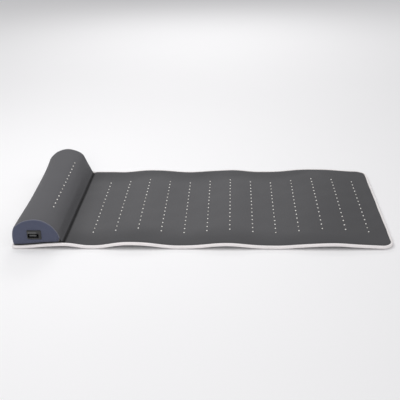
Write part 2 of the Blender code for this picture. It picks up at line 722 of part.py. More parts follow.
def fold_axis(name, x, z, parent=None):
    """Empty on a fold's hinge line, which carries the panel beyond it."""
    axis = bpy.data.objects.new(name, None)
    axis.empty_display_size = WIDTH / 10
    MODEL.objects.link(axis)
    axis.location = (x, 0, z)
    if parent:
        axis.parent = parent
        axis.location = (x - parent.location.x, 0, z - parent.location.z)
    return axis


def hang_panels():
    """Parent the pieces of the middle and the foot to their fold axes."""
    first = fold_axis("middle_fold_axis", FIRST_FOLD, FIRST_AXIS_Z)
    second = fold_axis("foot_fold_axis", SECOND_FOLD, SECOND_AXIS_Z, first)
    bpy.context.view_layer.update()
    for panel, axis in (("middle", first), ("foot", second)):
        rows = [f"{row + 1:02d}" for row in ROWS_OF_PANEL[panel]]
        for item in MODEL.objects:
            in_row = "strip" in item.name and item.name[-2:] in rows
            if item.type == "MESH" and (panel in item.name or in_row):
                item.parent = axis
                item.matrix_parent_inverse = axis.matrix_world.inverted()


for panel_name in PANELS:
    make_bottom_cover(panel_name)
    make_foam_core(panel_name)
    make_heater_film(panel_name)
    make_top_cover(panel_name)
    make_ribbon(panel_name)
make_thermal_cutout()
make_bindings()
make_strips()
make_bolster_cover()
make_bolster_foam()
make_end_caps()
make_socket_panel()
make_control_box()
hang_panels()
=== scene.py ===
import json
import math

import bmesh
import bpy
import numpy as np
from mathutils import Matrix, Vector


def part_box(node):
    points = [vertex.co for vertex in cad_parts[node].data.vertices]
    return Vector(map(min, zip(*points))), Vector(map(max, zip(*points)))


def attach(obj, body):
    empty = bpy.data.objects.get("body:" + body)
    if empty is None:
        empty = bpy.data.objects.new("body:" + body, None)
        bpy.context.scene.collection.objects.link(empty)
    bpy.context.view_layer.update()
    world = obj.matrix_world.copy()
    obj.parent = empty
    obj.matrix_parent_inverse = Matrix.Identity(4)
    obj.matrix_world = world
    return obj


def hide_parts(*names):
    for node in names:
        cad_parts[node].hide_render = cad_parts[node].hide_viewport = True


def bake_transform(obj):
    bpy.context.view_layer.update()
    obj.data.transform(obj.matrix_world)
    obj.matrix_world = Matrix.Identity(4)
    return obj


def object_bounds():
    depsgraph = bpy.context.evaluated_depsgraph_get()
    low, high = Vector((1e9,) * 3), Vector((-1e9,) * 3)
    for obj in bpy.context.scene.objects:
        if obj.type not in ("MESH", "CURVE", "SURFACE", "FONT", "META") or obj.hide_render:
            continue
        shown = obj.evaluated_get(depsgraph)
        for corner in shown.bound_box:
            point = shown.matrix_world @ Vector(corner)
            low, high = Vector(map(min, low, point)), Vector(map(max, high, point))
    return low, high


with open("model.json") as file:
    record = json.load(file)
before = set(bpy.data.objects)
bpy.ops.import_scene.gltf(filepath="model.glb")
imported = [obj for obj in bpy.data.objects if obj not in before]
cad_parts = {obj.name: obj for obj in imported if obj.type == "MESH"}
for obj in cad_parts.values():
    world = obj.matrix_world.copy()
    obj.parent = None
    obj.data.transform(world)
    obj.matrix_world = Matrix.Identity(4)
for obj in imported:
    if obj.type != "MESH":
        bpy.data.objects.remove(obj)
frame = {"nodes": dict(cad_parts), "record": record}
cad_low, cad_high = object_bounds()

nodes = frame["nodes"]

# ---------------------------------------------------------------------------------------
# Backing: a smooth dark cloth under the whole mat, cut to its rounded outline. It lies on
# the floor, apart from the four gentle waves that the rolled-up pad has kept.
HEAD, FOOT = cad_low.x, cad_high.x
FRONT, REAR = cad_low.y, cad_high.y
HEAD_CORNER, FOOT_CORNER = 0.012, 0.030
MAT = 0.0090                    # thickness of the whole mat
BACKING = 0.0008
CREASE = HEAD + 0.1245          # line along which the bolster is stitched down
EDGE = 0.0046                   # from the outline to the cut edge of the cloth, in the binding
PINCH, PINCH_WIDTH, PINCH_HEIGHT = 0.50, 0.0085, 0.0042     # beside the binding, to this level
STITCH_PINCH, STITCH_WIDTH = 0.50, 0.0046                   # along the crease
RIPPLE = 0.00022
MEET = HEAD + 0.6075            # trough of the waves, where two lengths of each sheet meet
FOLD_REACH = 0.022              # grid lines lie closer this far on either side of a fold
FOLDS = {joint["name"]: joint["pos_m"][0] for joint in frame["record"]["behaviour"]["joints"]}
# Start, crest at the front and at the rear edge, and end, all from the head end; then the
# heights at the front edge, in the middle and at the rear edge
WAVES = (
    (0.020, 0.1245, 0.1245, 0.187, (0.0068, 0.0042, 0.0010)),
    (0.198, 0.278, 0.296, 0.405, (0.0092, 0.0135, 0.0055)),
    (0.408, 0.516, 0.518, 0.603, (0.0066, 0.0122, 0.0055)),
    (0.612, 0.758, 0.752, 0.890, (0.0064, 0.0162, 0.0070)),
)


def mat_rise(x, y):
    """Height of the mat's underside: half cosines up to each wave's crest and down again.

    A wave's height is the parabola through its three heights from the front to the rear.
    A faint ripple of two crossing sines keeps any part of the mat from being truly flat.
    """
    u, v = x - HEAD, (y - FRONT) / (REAR - FRONT)
    total = RIPPLE * (2 + np.sin(71 * x + 38 * y) + np.sin(47 * x - 83 * y + 1.3))
    for start, front_crest, rear_crest, end, (front, middle, rear) in WAVES:
        crest = front_crest + (rear_crest - front_crest) * v
        share = np.clip(np.minimum((u - start) / (crest - start), (end - u) / (end - crest)), 0, 1)
        height = (front * (1 - v) * (1 - 2 * v) + 4 * middle * v * (1 - v)
                  + rear * v * (2 * v - 1))
        total = total + height * (1 - np.cos(np.pi * share)) / 2
    return total


def half_width(x, inset):
    """Half the width of the outline moved in by inset: straight sides, then a quarter circle."""
    foot, head = FOOT_CORNER - inset, HEAD_CORNER - inset
    past_foot = np.clip((x - FOOT + FOOT_CORNER) / foot, 0, 1)
    past_head = np.clip((HEAD + HEAD_CORNER - x) / head, 0, 1)
    return (REAR - inset - foot * (1 - np.sqrt(1 - past_foot ** 2))
            - head * (1 - np.sqrt(1 - past_head ** 2)))


def lay(x, y, z):
    """Height of a point that is z above the floor in the flat mat, once the mat lies down.

    The waves lift it, and the pad is pinched by up to a half beside the binding, from both
    sides, and along the stitched crease, as a bell curve of the distance from each.
    """
    from_edge = np.minimum(half_width(x, 0) - np.abs(y), np.minimum(x - HEAD, FOOT - x))
    edge = PINCH * np.exp(-(from_edge / PINCH_WIDTH) ** 2)
    crease = STITCH_PINCH * np.exp(-((x - CREASE) / STITCH_WIDTH) ** 2)
    return mat_rise(x, y) + z * (1 - edge) * (1 - crease) + PINCH_HEIGHT * edge


def along(start, end, inset):
    """X of the lines across a sheet: 5 mm apart, and closer at the crease, folds and corners."""
    lines = [np.arange(start, end, 0.005), CREASE + np.arange(-0.012, 0.0121, 0.0012)]
    lines += [fold + np.arange(-FOLD_REACH, FOLD_REACH + 0.001, 0.0022) for fold in FOLDS.values()]
    turn = np.sin(np.radians(np.arange(0, 91, 9)))
    lines += [FOOT - FOOT_CORNER + (FOOT_CORNER - inset) * turn,
              HEAD + HEAD_CORNER - (HEAD_CORNER - inset) * turn]
    lines = np.sort(np.concatenate(lines))
    lines = lines[(lines > start) & (lines < end)]
    lines = lines[np.diff(lines, prepend=start) > 0.0003]
    return np.concatenate([[start], lines[lines < end - 0.0003], [end]])


def across():
    """Shares of the half width, from -1 to 1, closer beside the binding."""
    side = 1 - np.array([0, 0.0012, 0.0026, 0.0042, 0.006, 0.008, 0.0105, 0.0135, 0.017]) / REAR
    inner = np.linspace(-side[-1], side[-1], 72)
    return np.concatenate([-side, inner[1:-1], side[::-1]])


def make_piece(name, points, faces, flat=None, sharp=50):
    """Mesh object at the origin. flat gives each point's place on the flat cloth, in metres."""
    used, faces = np.unique(faces, return_inverse=True)
    mesh = bpy.data.meshes.new(name)
    mesh.from_pydata(points.reshape(-1, 3)[used], [], faces.reshape(-1, 4))
    mesh.validate()
    mesh.polygons.foreach_set("use_smooth", np.ones(len(mesh.polygons), bool))
    mesh.set_sharp_from_angle(angle=math.radians(sharp))
    if flat is not None:
        corner = np.zeros(len(mesh.loops), int)
        mesh.loops.foreach_get("vertex_index", corner)
        layer = mesh.uv_layers.new(name="cloth")
        layer.data.foreach_set("uv", flat.reshape(-1, 2)[used][corner].astype(np.float32).ravel())
    piece = bpy.data.objects.new(name, mesh)
    bpy.context.scene.collection.objects.link(piece)
    return piece


def cells(rows, columns):
    """Numbers of the four corners of each cell of a grid of points."""
    number = np.arange(rows * columns).reshape(rows, columns)
    return np.stack([number[:-1, :-1], number[1:, :-1], number[1:, 1:], number[:-1, 1:]], -1)


def sandwich(name, upper, under, kept=None, flat=None, sharp=50, looped=False):
    """Closed piece between two grids of points, the upper one outwards.

    A cell of the grid is filled where kept is true. Each edge between a filled and an empty
    cell, or the outside, gets a wall from the upper grid to the under one. A looped grid's
    last row lies on its first, so there is no wall between the two.
    """
    rows, columns = upper.shape[:2]
    kept = np.ones((rows - 1, columns - 1), bool) if kept is None else kept
    corners = tuple(np.moveaxis(cells(rows, columns), -1, 0))
    below = rows * columns
    faces = [np.stack(corners, -1)[kept], np.stack(corners[::-1], -1)[kept] + below]
    filled = np.pad(kept, 1)
    if looped:
        filled[[0, -1]] = True
    beside = (filled[1:-1, :-2], filled[2:, 1:-1], filled[1:-1, 2:], filled[:-2, 1:-1])
    for p, q, neighbour in zip(corners, corners[1:] + corners[:1], beside):
        open_side = kept & ~neighbour
        p, q = p[open_side], q[open_side]
        faces.append(np.stack([p, p + below, q + below, q], -1))
    if flat is None:
        flat = upper[..., :2]
    points = np.concatenate([upper.reshape(-1, 3), under.reshape(-1, 3)])
    flat = np.concatenate([flat.reshape(-1, 2)] * 2)
    return make_piece(name, points, np.concatenate(faces), flat, sharp)


def slab(name, x, y, low, high, kept=None):
    """Closed slab over a grid of x and y, between two heights in the flat mat, then laid down."""
    x, y = np.broadcast_arrays(x, y)
    upper = np.stack([x, y, lay(x, y, high)], -1)
    under = np.stack([x, y, lay(x, y, low)], -1)
    return sandwich(name, upper, under, kept)


def sheet_slab(name, start, end, inset, low, high):
    """Slab of the mat's own outline, moved in by inset, from start to end."""
    x = along(start, end, inset)[:, None]
    return slab(name, x, across() * half_width(x, inset), low, high)


def bend_over(piece):
    """Bake a piece's placement into its mesh, leaving it at the origin."""
    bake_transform(piece)


def node(tree, kind, inputs=None, **settings):
    """Add a shader node. inputs maps a socket's name or number to a value or another socket."""
    made = tree.nodes.new(kind if kind.startswith("Node") else "ShaderNode" + kind)
    for key, value in settings.items():
        setattr(made, key, value)
    for key, value in (inputs or {}).items():
        if isinstance(value, bpy.types.NodeSocket):
            tree.links.new(value, made.inputs[key])
        else:
            made.inputs[key].default_value = value
    return made


def maths(tree, operation, *values):
    return node(tree, "Math", dict(enumerate(values)), operation=operation).outputs[0]


def remap(tree, value, low, high, to_low=0.0, to_high=1.0):
    """Smooth step of a value from one range to another."""
    made = node(tree, "MapRange", {"Value": value, "From Min": low, "From Max": high,
                                   "To Min": to_low, "To Max": to_high})
    made.interpolation_type = "SMOOTHSTEP"
    return made.outputs["Result"]


def mixed(tree, factor, first, second):
    """Colour between two colours, each a socket or three numbers."""
    colours = [c if isinstance(c, bpy.types.NodeSocket) else (*c, 1.0) for c in (first, second)]
    made = node(tree, "Mix", {0: factor, 6: colours[0], 7: colours[1]}, data_type="RGBA")
    return made.outputs[2]


def shader_group(name, numbers, outputs):
    """Empty node group with a Vector input and numbered inputs; returns it and its two ends."""
    tree = bpy.data.node_groups.new(name, "ShaderNodeTree")
    tree.interface.new_socket("Vector", in_out="INPUT", socket_type="NodeSocketVector")
    for label, value in numbers.items():
        socket = tree.interface.new_socket(label, in_out="INPUT", socket_type="NodeSocketFloat")
        socket.default_value = value
    for label in outputs:
        tree.interface.new_socket(label, in_out="OUTPUT", socket_type="NodeSocketFloat")
    return tree, node(tree, "NodeGroupInput").outputs, node(tree, "NodeGroupOutput").inputs


def group_node(tree, group, **inputs):
    """Place a shared group. An input called first_x fills its socket First X."""
    named = {key.replace("_", " ").title(): value for key, value in inputs.items()}
    return node(tree, "Group", named, node_tree=group).outputs


def make_weave_group():
    """Plain weave: the product of two sines is high where warp passes over weft.

    Shade is a thread-by-thread difference in colour plus the shadow between the threads.
    """
    tree, given, out = shader_group("weave", {"Pitch": 0.001, "Slub": 0.5}, ("Height", "Shade"))
    half_turns = {0: given["Vector"], 1: (math.pi,) * 3}
    scaled = node(tree, "VectorMath", half_turns, operation="MULTIPLY")
    by_pitch = node(tree, "VectorMath", {0: scaled.outputs[0]}, operation="SCALE")
    tree.links.new(maths(tree, "DIVIDE", 1.0, given["Pitch"]), by_pitch.inputs["Scale"])
    split = node(tree, "SeparateXYZ", {0: by_pitch.outputs[0]})
    sines = [maths(tree, "SINE", split.outputs[i]) for i in (0, 1)]
    height = maths(tree, "MULTIPLY_ADD", maths(tree, "MULTIPLY", *sines), 0.5, 0.5)
    slub = node(tree, "TexNoise", {"Vector": by_pitch.outputs[0], "Scale": 0.11, "Detail": 3.0,
                                   "Roughness": 0.7})
    uneven = maths(tree, "MULTIPLY", maths(tree, "SUBTRACT", slub.outputs[0], 0.5), given["Slub"])
    tree.links.new(maths(tree, "ADD", height, uneven), out["Height"])
    tree.links.new(maths(tree, "MULTIPLY_ADD", height, 0.25, maths(tree, "MULTIPLY_ADD", uneven,
                                                                  1.5, 0.375)), out["Shade"])
    return tree


def make_patches_group():
    """Broad uneven patches, of dye, rubbing or dust, with a finer grain inside them."""
    tree, given, out = shader_group("patches", {"Size": 0.08}, ("Mask",))
    scale = maths(tree, "DIVIDE", 1.0, given["Size"])
    broad = node(tree, "TexNoise", {"Vector": given["Vector"], "Scale": scale, "Detail": 5.0,
                                    "Roughness": 0.62})
    tree.links.new(remap(tree, broad.outputs[0], 0.3, 0.7), out["Mask"])
    return tree


WEAVE, PATCHES = make_weave_group(), make_patches_group()


def new_finish(name, roughness, metallic=0.0, **settings):
    """Material with a Principled shader; constant values are set on the shader's own sockets."""
    made = bpy.data.materials.new(name)
    made.use_nodes = True
    shader = made.node_tree.nodes["Principled BSDF"]
    shader.inputs["Roughness"].default_value = roughness
    shader.inputs["Metallic"].default_value = metallic
    for key, value in settings.items():
        shader.inputs[key.replace("_", " ").title().replace("Ior", "IOR")].default_value = value
    return made, made.node_tree, shader


def feed(tree, shader, **values):
    """Link sockets to the shader. A value called base_color goes to its socket Base Color."""
    for key, value in values.items():
        tree.links.new(value, shader.inputs[key.replace("_", " ").title()])


def bump(tree, shader, height, distance):
    made = node(tree, "Bump", {"Height": height, "Distance": distance})
    feed(tree, shader, normal=made.outputs[0])


def woven(name, colour, pitch, depth, roughness=0.85, sheen=0.15, contrast=0.25, patch=0.08):
    """Plain woven cloth in its own flat coordinates: threads, uneven dye and a rubbed bloom."""
    made, tree, shader = new_finish(name, roughness, sheen_weight=sheen, sheen_roughness=0.45,
                                   specular_ior_level=0.3)
    flat = node(tree, "UVMap", uv_map="cloth").outputs[0]
    threads = group_node(tree, WEAVE, vector=flat, pitch=pitch, slub=0.5)
    dye = group_node(tree, PATCHES, vector=flat, size=patch)["Mask"]
    dark = [c * (1 - contrast) for c in colour]
    light = [c * (1 + contrast) for c in colour]
    thread = mixed(tree, threads["Shade"], dark, light)
    bloom = [min(c * 1.6, 1) for c in colour]
    faded = mixed(tree, maths(tree, "MULTIPLY", dye, 0.10), thread, bloom)
    feed(tree, shader, base_color=faded,
         roughness=remap(tree, dye, 0, 1, roughness - 0.06, roughness + 0.05))
    bump(tree, shader, threads["Height"], depth)
    return made, tree, shader


def dress(piece, finish):
    """Give a piece its only material."""
    piece.data.materials.clear()
    piece.data.materials.append(finish)
    return piece


LENGTHS = {"upper": (HEAD, MEET, "middle_fold", ("head", "middle")),
           "lower": (MEET, FOOT, "foot_fold", ("foot", "middle"))}


def sheet_ends(part, inset):
    """Ends of one length of a sheet that is cut inset from the outline."""
    start, end = LENGTHS[part][:2]
    return (start + inset if part == "upper" else start, end - inset if part == "lower" else end)


backing_cloth = woven("backing cloth", (0.060, 0.060, 0.066), 0.0008, 0.00008, 0.75, 0.05)[0]
for part, (_, _, fold, panels) in LENGTHS.items():
    start, end = sheet_ends(part, EDGE)
    backing = sheet_slab(f"backing_{part}", start, end, EDGE, 0.0, BACKING)
    dress(backing, backing_cloth)
    bend_over(backing)
    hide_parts(*(f"bottom_cover_{panel}" for panel in panels))

# ---------------------------------------------------------------------------------------
# Foam pad: one slab of open-cell foam, with shallow grooves cut in its upper side for the
# emitter strips and their supply ribbon, and a pocket for the thermal cut-out.
FOAM_BASE, FOAM_TOP, GROOVE_FLOOR = 0.0011, 0.0070, 0.0054
POCKET_FLOOR = 0.0032           # under the thermal cut-out
ROW_X = HEAD + 0.1855 + np.arange(13) * 0.0553
ROW_Y = np.linspace(FRONT + 0.068, REAR - 0.087, 15)
STRIP_HALF, STRIP_END = 0.0045, 0.009
ROOM = 0.0003                   # left round a strip in its groove
RIBBON_Y = (REAR - 0.045, REAR - 0.033)
CROSS_X = (HEAD + 0.030, HEAD + 0.042)
CROSS_FRONT = FRONT + 0.027
WALL = 0.00004                  # a groove's wall leans by this much


def foam_hollows():
    """Spans in X and Y, and the floor, of every groove and pocket."""
    grooves = [(x - STRIP_HALF, x + STRIP_HALF, ROW_Y[0] - STRIP_END, RIBBON_Y[0], GROOVE_FLOOR)
               for x in ROW_X]
    low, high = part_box("thermal_cutout")
    return grooves + [
        (CROSS_X[0], ROW_X[-1] + 2 * STRIP_HALF, *RIBBON_Y, GROOVE_FLOOR),
        (*CROSS_X, CROSS_FRONT, RIBBON_Y[0] + 0.001, GROOVE_FLOOR),
        (low.x, high.x, low.y, high.y, POCKET_FLOOR)]


def with_edges(lines, edges):
    """Grid lines with a close pair at each edge, so that a step there has an upright wall."""
    pairs = np.concatenate([[edge - WALL, edge + WALL] for edge in sorted(edges)])
    near = np.abs(lines[:, None] - np.array(sorted(edges))).min(1)
    return np.sort(np.concatenate([lines[near > 0.0009], pairs]))


def make_foam(part):
    """Slab whose upper side drops to a groove's floor inside each hollow's spans."""
    start, end = sheet_ends(part, EDGE + ROOM)
    hollows = [h for h in foam_hollows() if h[0] < end and h[1] > start]
    x_edges = {e for h in hollows for e in (h[0] - ROOM, h[1] + ROOM) if start < e < end}
    y_edges = {e for h in hollows for e in (h[2] - ROOM, h[3] + ROOM)}
    x = with_edges(along(start, end, EDGE + ROOM), x_edges)[:, None]
    straight = REAR - EDGE - ROOM
    share = with_edges(across() * straight, y_edges) / straight
    y = share * half_width(x, EDGE + ROOM)
    top = np.full(np.broadcast(x, y).shape, FOAM_TOP)
    for x0, x1, y0, y1, floor in hollows:
        within = (x > x0 - ROOM) & (x < x1 + ROOM) & (y > y0 - ROOM) & (y < y1 + ROOM)
        top = np.where(within, np.minimum(top, floor), top)
    return slab(f"foam_pad_{part}", x, y, FOAM_BASE, top)


def make_foam_finish():
    """Open-cell foam: pale cells of two sizes, yellower in patches."""
    made, tree, shader = new_finish("open-cell foam", 0.95)
    place = node(tree, "TexCoord").outputs["Object"]
    bubbles = node(tree, "TexVoronoi", {"Vector": place, "Scale": 1400.0})
    grain = node(tree, "TexNoise", {"Vector": place, "Scale": 420.0, "Detail": 4.0})
    aged = group_node(tree, PATCHES, vector=place, size=0.09)["Mask"]
    body = mixed(tree, aged, (0.60, 0.58, 0.52), (0.52, 0.48, 0.38))
    pores = remap(tree, bubbles.outputs[0], 0.25, 0.75)
    shadow = maths(tree, "MULTIPLY", pores, 0.5)
    feed(tree, shader, base_color=mixed(tree, shadow, body, (0.25, 0.23, 0.19)))
    bump(tree, shader, maths(tree, "ADD", bubbles.outputs[0], grain.outputs[0]), 0.0005)
    return made


foam_finish = make_foam_finish()
for part, (_, _, fold, panels) in LENGTHS.items():
    foam = make_foam(part)
    dress(foam, foam_finish)
    bend_over(foam)
    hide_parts(*(f"foam_core_{panel}" for panel in panels))

# ---------------------------------------------------------------------------------------
# Heater film: printed carbon film over the foam, with copper edges. It has a slot for each
# lens strip, and starts just beyond the bolster.
FILM_BASE, FILM_TOP = 0.0073, 0.0077
FILM_MARGIN = 0.014
FILM_HALF = REAR - FILM_MARGIN
FILM_ENDS = (HEAD + 0.130, FOOT - FILM_MARGIN)


def grid_with(start, end, step, edges):
    """Grid lines from start to end, with a line at each edge and none closer than 0.4 mm to it."""
    edges = np.array(sorted({start, end, *(e for e in edges if start < e < end)}))
    lines = np.arange(start, end, step)
    lines = lines[np.abs(lines[:, None] - edges).min(1) > 0.0004]
    return np.sort(np.concatenate([lines, edges]))


def make_film(part):
    start, end = LENGTHS[part][:2]
    start, end = max(start, FILM_ENDS[0]), min(end, FILM_ENDS[1])
    slot = STRIP_HALF + ROOM
    x = grid_with(start, end, 0.004, [x + side for x in ROW_X for side in (-slot, slot)])
    length = (ROW_Y[0] - STRIP_END - ROOM, ROW_Y[-1] + STRIP_END + ROOM)
    y = grid_with(-FILM_HALF, FILM_HALF, 0.006, length)
    x_mid, y_mid = (x[1:] + x[:-1]) / 2, (y[1:] + y[:-1]) / 2
    in_row = np.abs(x_mid[:, None] - ROW_X).min(1) < slot
    kept = ~(in_row[:, None] & (y_mid > length[0]) & (y_mid < length[1]))
    return slab(f"heater_film_{part}", x[:, None], y, FILM_BASE, FILM_TOP, kept)


def make_film_finish():
    """Black film with carbon bars printed across it and a copper strip near each side edge."""
    made, tree, shader = new_finish("printed carbon film", 0.42, coat_weight=0.3)
    place = node(tree, "TexCoord").outputs["Object"]
    split = node(tree, "SeparateXYZ", {0: place})
    phase = maths(tree, "FRACT", maths(tree, "DIVIDE", split.outputs[0], 0.010))
    bars = remap(tree, maths(tree, "PINGPONG", phase, 0.5), 0.08, 0.12)
    grain = node(tree, "TexNoise", {"Vector": place, "Scale": 600.0, "Detail": 2.0})
    side = maths(tree, "ABSOLUTE", split.outputs[1])
    copper = maths(tree, "MULTIPLY", remap(tree, side, FILM_HALF - 0.0125, FILM_HALF - 0.012),
                   remap(tree, side, FILM_HALF - 0.003, FILM_HALF - 0.0035))
    carbon = mixed(tree, bars, (0.045, 0.045, 0.050), (0.014, 0.014, 0.016))
    specks = maths(tree, "MULTIPLY", grain.outputs[0], 0.3)
    speckled = mixed(tree, specks, carbon, (0.03, 0.03, 0.03))
    feed(tree, shader, base_color=mixed(tree, copper, speckled, (0.62, 0.33, 0.20)),
         metallic=copper)
    bump(tree, shader, maths(tree, "ADD", bars, copper), 0.00004)
    return made


film_finish = make_film_finish()
for part, (_, _, fold, panels) in LENGTHS.items():
    film = make_film(part)
    dress(film, film_finish)
    bend_over(film)
    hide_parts(*(f"heater_film_{panel}" for panel in panels))

# ---------------------------------------------------------------------------------------
# Supply ribbon: flat copper tracks in clear film, let into the foam along the rear margin.
# It turns under the bolster and climbs through the covers to the control box.
STRIP_BASE, STRIP_TOP = 0.0057, 0.0062
RISER_X = (CROSS_X[0] + 0.001, CROSS_X[1] - 0.001)
RISER_Y = (FRONT + 0.032, FRONT + 0.033)


def make_ribbon(part):
    """L-shaped slab at the head; the riser is the cells between the ribbon and the box."""
    start, end = LENGTHS[part][:2]
    start, end = max(start, CROSS_X[0]), min(end, ROW_X[-1] + STRIP_HALF)
    x = grid_with(start, end, 0.006, [*CROSS_X, *RISER_X])
    front = RISER_Y[0] if part == "upper" else RIBBON_Y[0]
    y = grid_with(front, RIBBON_Y[1], 0.008, [RISER_Y[1], RIBBON_Y[0]])
    x_mid, y_mid = ((x[1:] + x[:-1]) / 2)[:, None], (y[1:] + y[:-1]) / 2
    kept = (y_mid > RIBBON_Y[0]) | (x_mid < CROSS_X[1])
    xx, yy = np.broadcast_arrays(x[:, None], y)
    upper = lay(xx, yy, STRIP_TOP)
    if part == "upper":
        on_riser = (xx > RISER_X[0] - ROOM) & (xx < RISER_X[1] + ROOM) & (yy < RISER_Y[1] + ROOM)
        upper = np.where(on_riser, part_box("bus_ribbon_head")[1].z, upper)
    return sandwich(f"supply_ribbon_{part}", np.stack([xx, yy, upper], -1),
                    np.stack([xx, yy, lay(xx, yy, STRIP_BASE)], -1), kept, sharp=30)


def make_ribbon_finish():
    """Two copper tracks with the clear film's gloss over them and pale film between."""
    made, tree, shader = new_finish("copper ribbon", 0.35, coat_weight=0.6, coat_roughness=0.15)
    place = node(tree, "TexCoord").outputs["Object"]
    split = node(tree, "SeparateXYZ", {0: place})
    tracks = maths(tree, "PINGPONG", maths(tree, "SUBTRACT", split.outputs[1], RIBBON_Y[0]), 0.006)
    film = remap(tree, tracks, 0.0045, 0.0052)
    tarnish = group_node(tree, PATCHES, vector=place, size=0.03)["Mask"]
    copper = mixed(tree, tarnish, (0.70, 0.38, 0.23), (0.50, 0.26, 0.15))
    feed(tree, shader, base_color=mixed(tree, film, copper, (0.45, 0.40, 0.30)),
         metallic=remap(tree, film, 0, 1, 0.9, 0.0))
    bump(tree, shader, film, 0.00005)
    return made


ribbon_finish = make_ribbon_finish()
for part, (_, _, fold, panels) in LENGTHS.items():
    ribbon = make_ribbon(part)
    dress(ribbon, ribbon_finish)
    bend_over(ribbon)
    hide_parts(*(f"bus_ribbon_{panel}" for panel in panels))

# ---------------------------------------------------------------------------------------
# Emitter strips: white flexible circuits in the foam's grooves, one under each row of
# lenses, soldered to the supply ribbon at the rear.
def body_of_row(row):
    return "head" if row < 7 else "middle" if row < 10 else "foot"


def strip_grid(x, start, end):
    return np.linspace(x - STRIP_HALF, x + STRIP_HALF, 3)[:, None], np.linspace(start, end, 56)


def make_emitter_finish(name):
    """White circuit with a dark chip under each lens."""
    made, tree, shader = new_finish(name, 0.45, coat_weight=0.2)
    flat = node(tree, "UVMap", uv_map="cloth").outputs[0]
    split = node(tree, "SeparateXYZ", {0: flat})
    spacing = ROW_Y[1] - ROW_Y[0]
    step = maths(tree, "DIVIDE", maths(tree, "SUBTRACT", split.outputs[1], ROW_Y[0]), spacing)
    from_lens = maths(tree, "MULTIPLY", maths(tree, "PINGPONG", step, 0.5), spacing)
    chip = remap(tree, from_lens, 0.0016, 0.0013)
    grain = node(tree, "TexNoise", {"Vector": flat, "Scale": 900.0})
    white = mixed(tree, grain.outputs[0], (0.70, 0.70, 0.67), (0.82, 0.82, 0.79))
    feed(tree, shader, base_color=mixed(tree, chip, white, (0.05, 0.045, 0.04)))
    bump(tree, shader, chip, 0.0002)
    return made


emitter_finish = make_emitter_finish("flexible circuit")
for row, x in enumerate(ROW_X):
    grid = strip_grid(x, ROW_Y[0] - STRIP_END, RIBBON_Y[0] - ROOM)
    emitter = slab(f"emitter_{row + 1:02d}", *grid, STRIP_BASE, STRIP_TOP)
    dress(emitter, emitter_finish)
    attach(emitter, body_of_row(row))
    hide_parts(f"emitter_strip_{row + 1:02d}")

# ---------------------------------------------------------------------------------------
# Lens strips: moulded milky plastic, a thin base with a low round lens over each emitter.
# The base lies in the film's slot, and the lenses come up through the cover.
LENS_RADIUS, LENS_STANDS = 0.0019, 0.0015
STRIP_SEAT = 0.0065             # the moulded base begins here, just over the emitters
LENS_ROOT = 0.0005              # a lens's skirt reaches this far into the base


def lens_domes(centres, frames, stands, depth):
    """One grid per lens: a flat foot, a skirt, and half an ellipse of revolution over it.

    frames holds each lens's two side directions and its upward one, as rows.
    """
    turn = np.linspace(0, 2 * np.pi, 11)
    lift = np.radians([0, 30, 60, 90])
    radius = LENS_RADIUS * np.concatenate([[0, 1], np.cos(lift)])
    height = np.concatenate([[-depth, -depth], stands * np.sin(lift)])
    local = np.stack([radius * np.cos(turn)[:, None], radius * np.sin(turn)[:, None],
                      height + 0 * turn[:, None]], -1)
    return centres[:, None, None, :] + np.einsum("abk,nkj->nabj", local, frames)


def make_lens_finish():
    """Milky plastic with faint moulding flow, and some lenses duller and darker."""
    made, tree, shader = new_finish("milky lens", 0.30, coat_weight=0.4, coat_roughness=0.12)
    place = node(tree, "TexCoord").outputs["Object"]
    flow = node(tree, "TexNoise", {"Vector": place, "Scale": 260.0, "Detail": 2.0})
    batch = node(tree, "TexNoise", {"Vector": place, "Scale": 55.0, "Detail": 1.0})
    milky = mixed(tree, remap(tree, flow.outputs[0], 0.35, 0.65), (0.94, 0.91, 0.85),
                  (0.99, 0.975, 0.94))
    dull = remap(tree, batch.outputs[0], 0.52, 0.70, 0.0, 0.6)
    feed(tree, shader, base_color=mixed(tree, dull, milky, (0.42, 0.39, 0.34)),
         roughness=remap(tree, flow.outputs[0], 0.3, 0.7, 0.22, 0.38))
    bump(tree, shader, flow.outputs[0], 0.00006)
    return made


def weld(piece, distance=1e-6, sharp=50):
    """Merge doubled points, such as where a ring closes on itself, and turn faces outwards."""
    bm = bmesh.new()
    bm.from_mesh(piece.data)
    bmesh.ops.remove_doubles(bm, verts=bm.verts, dist=distance)
    bmesh.ops.recalc_face_normals(bm, faces=bm.faces)
    bm.to_mesh(piece.data)
    bm.free()
    piece.data.set_sharp_from_angle(angle=math.radians(sharp))
    return piece


def join_grids(name, stacks):
    """One piece from stacks of grids, each stack of the same number of rows and columns."""
    points, faces, count = [], [], 0
    for grids in stacks:
        number, rows, columns = grids.shape[:3]
        start = count + np.arange(number)[:, None] * rows * columns
        faces.append((start[..., None] + cells(rows, columns).reshape(1, -1, 4)).reshape(-1, 4))
        points.append(grids.reshape(-1, 3))
        count += len(points[-1])
    return weld(make_piece(name, np.concatenate(points), np.concatenate(faces)))


def box_grid(x, y, low, high):
    """Closed tube of four sides along Y: its cross section runs round the strip, ends shut."""
    x0, x1 = x
    y = np.concatenate([y[:1], y, y[-1:]])
    corners = [(x0, high), (x0, low), (x1, low), (x1, high), (x0, high)]
    grid = np.stack([np.stack([np.full(len(y), cx), y, np.full(len(y), cz)], -1)
                     for cx, cz in corners])
    middle = np.array([(x0 + x1) / 2, 0, (low + high) / 2])
    grid[:, 0] = middle + [0, y[0], 0]
    grid[:, -1] = middle + [0, y[-1], 0]
    return grid[None]


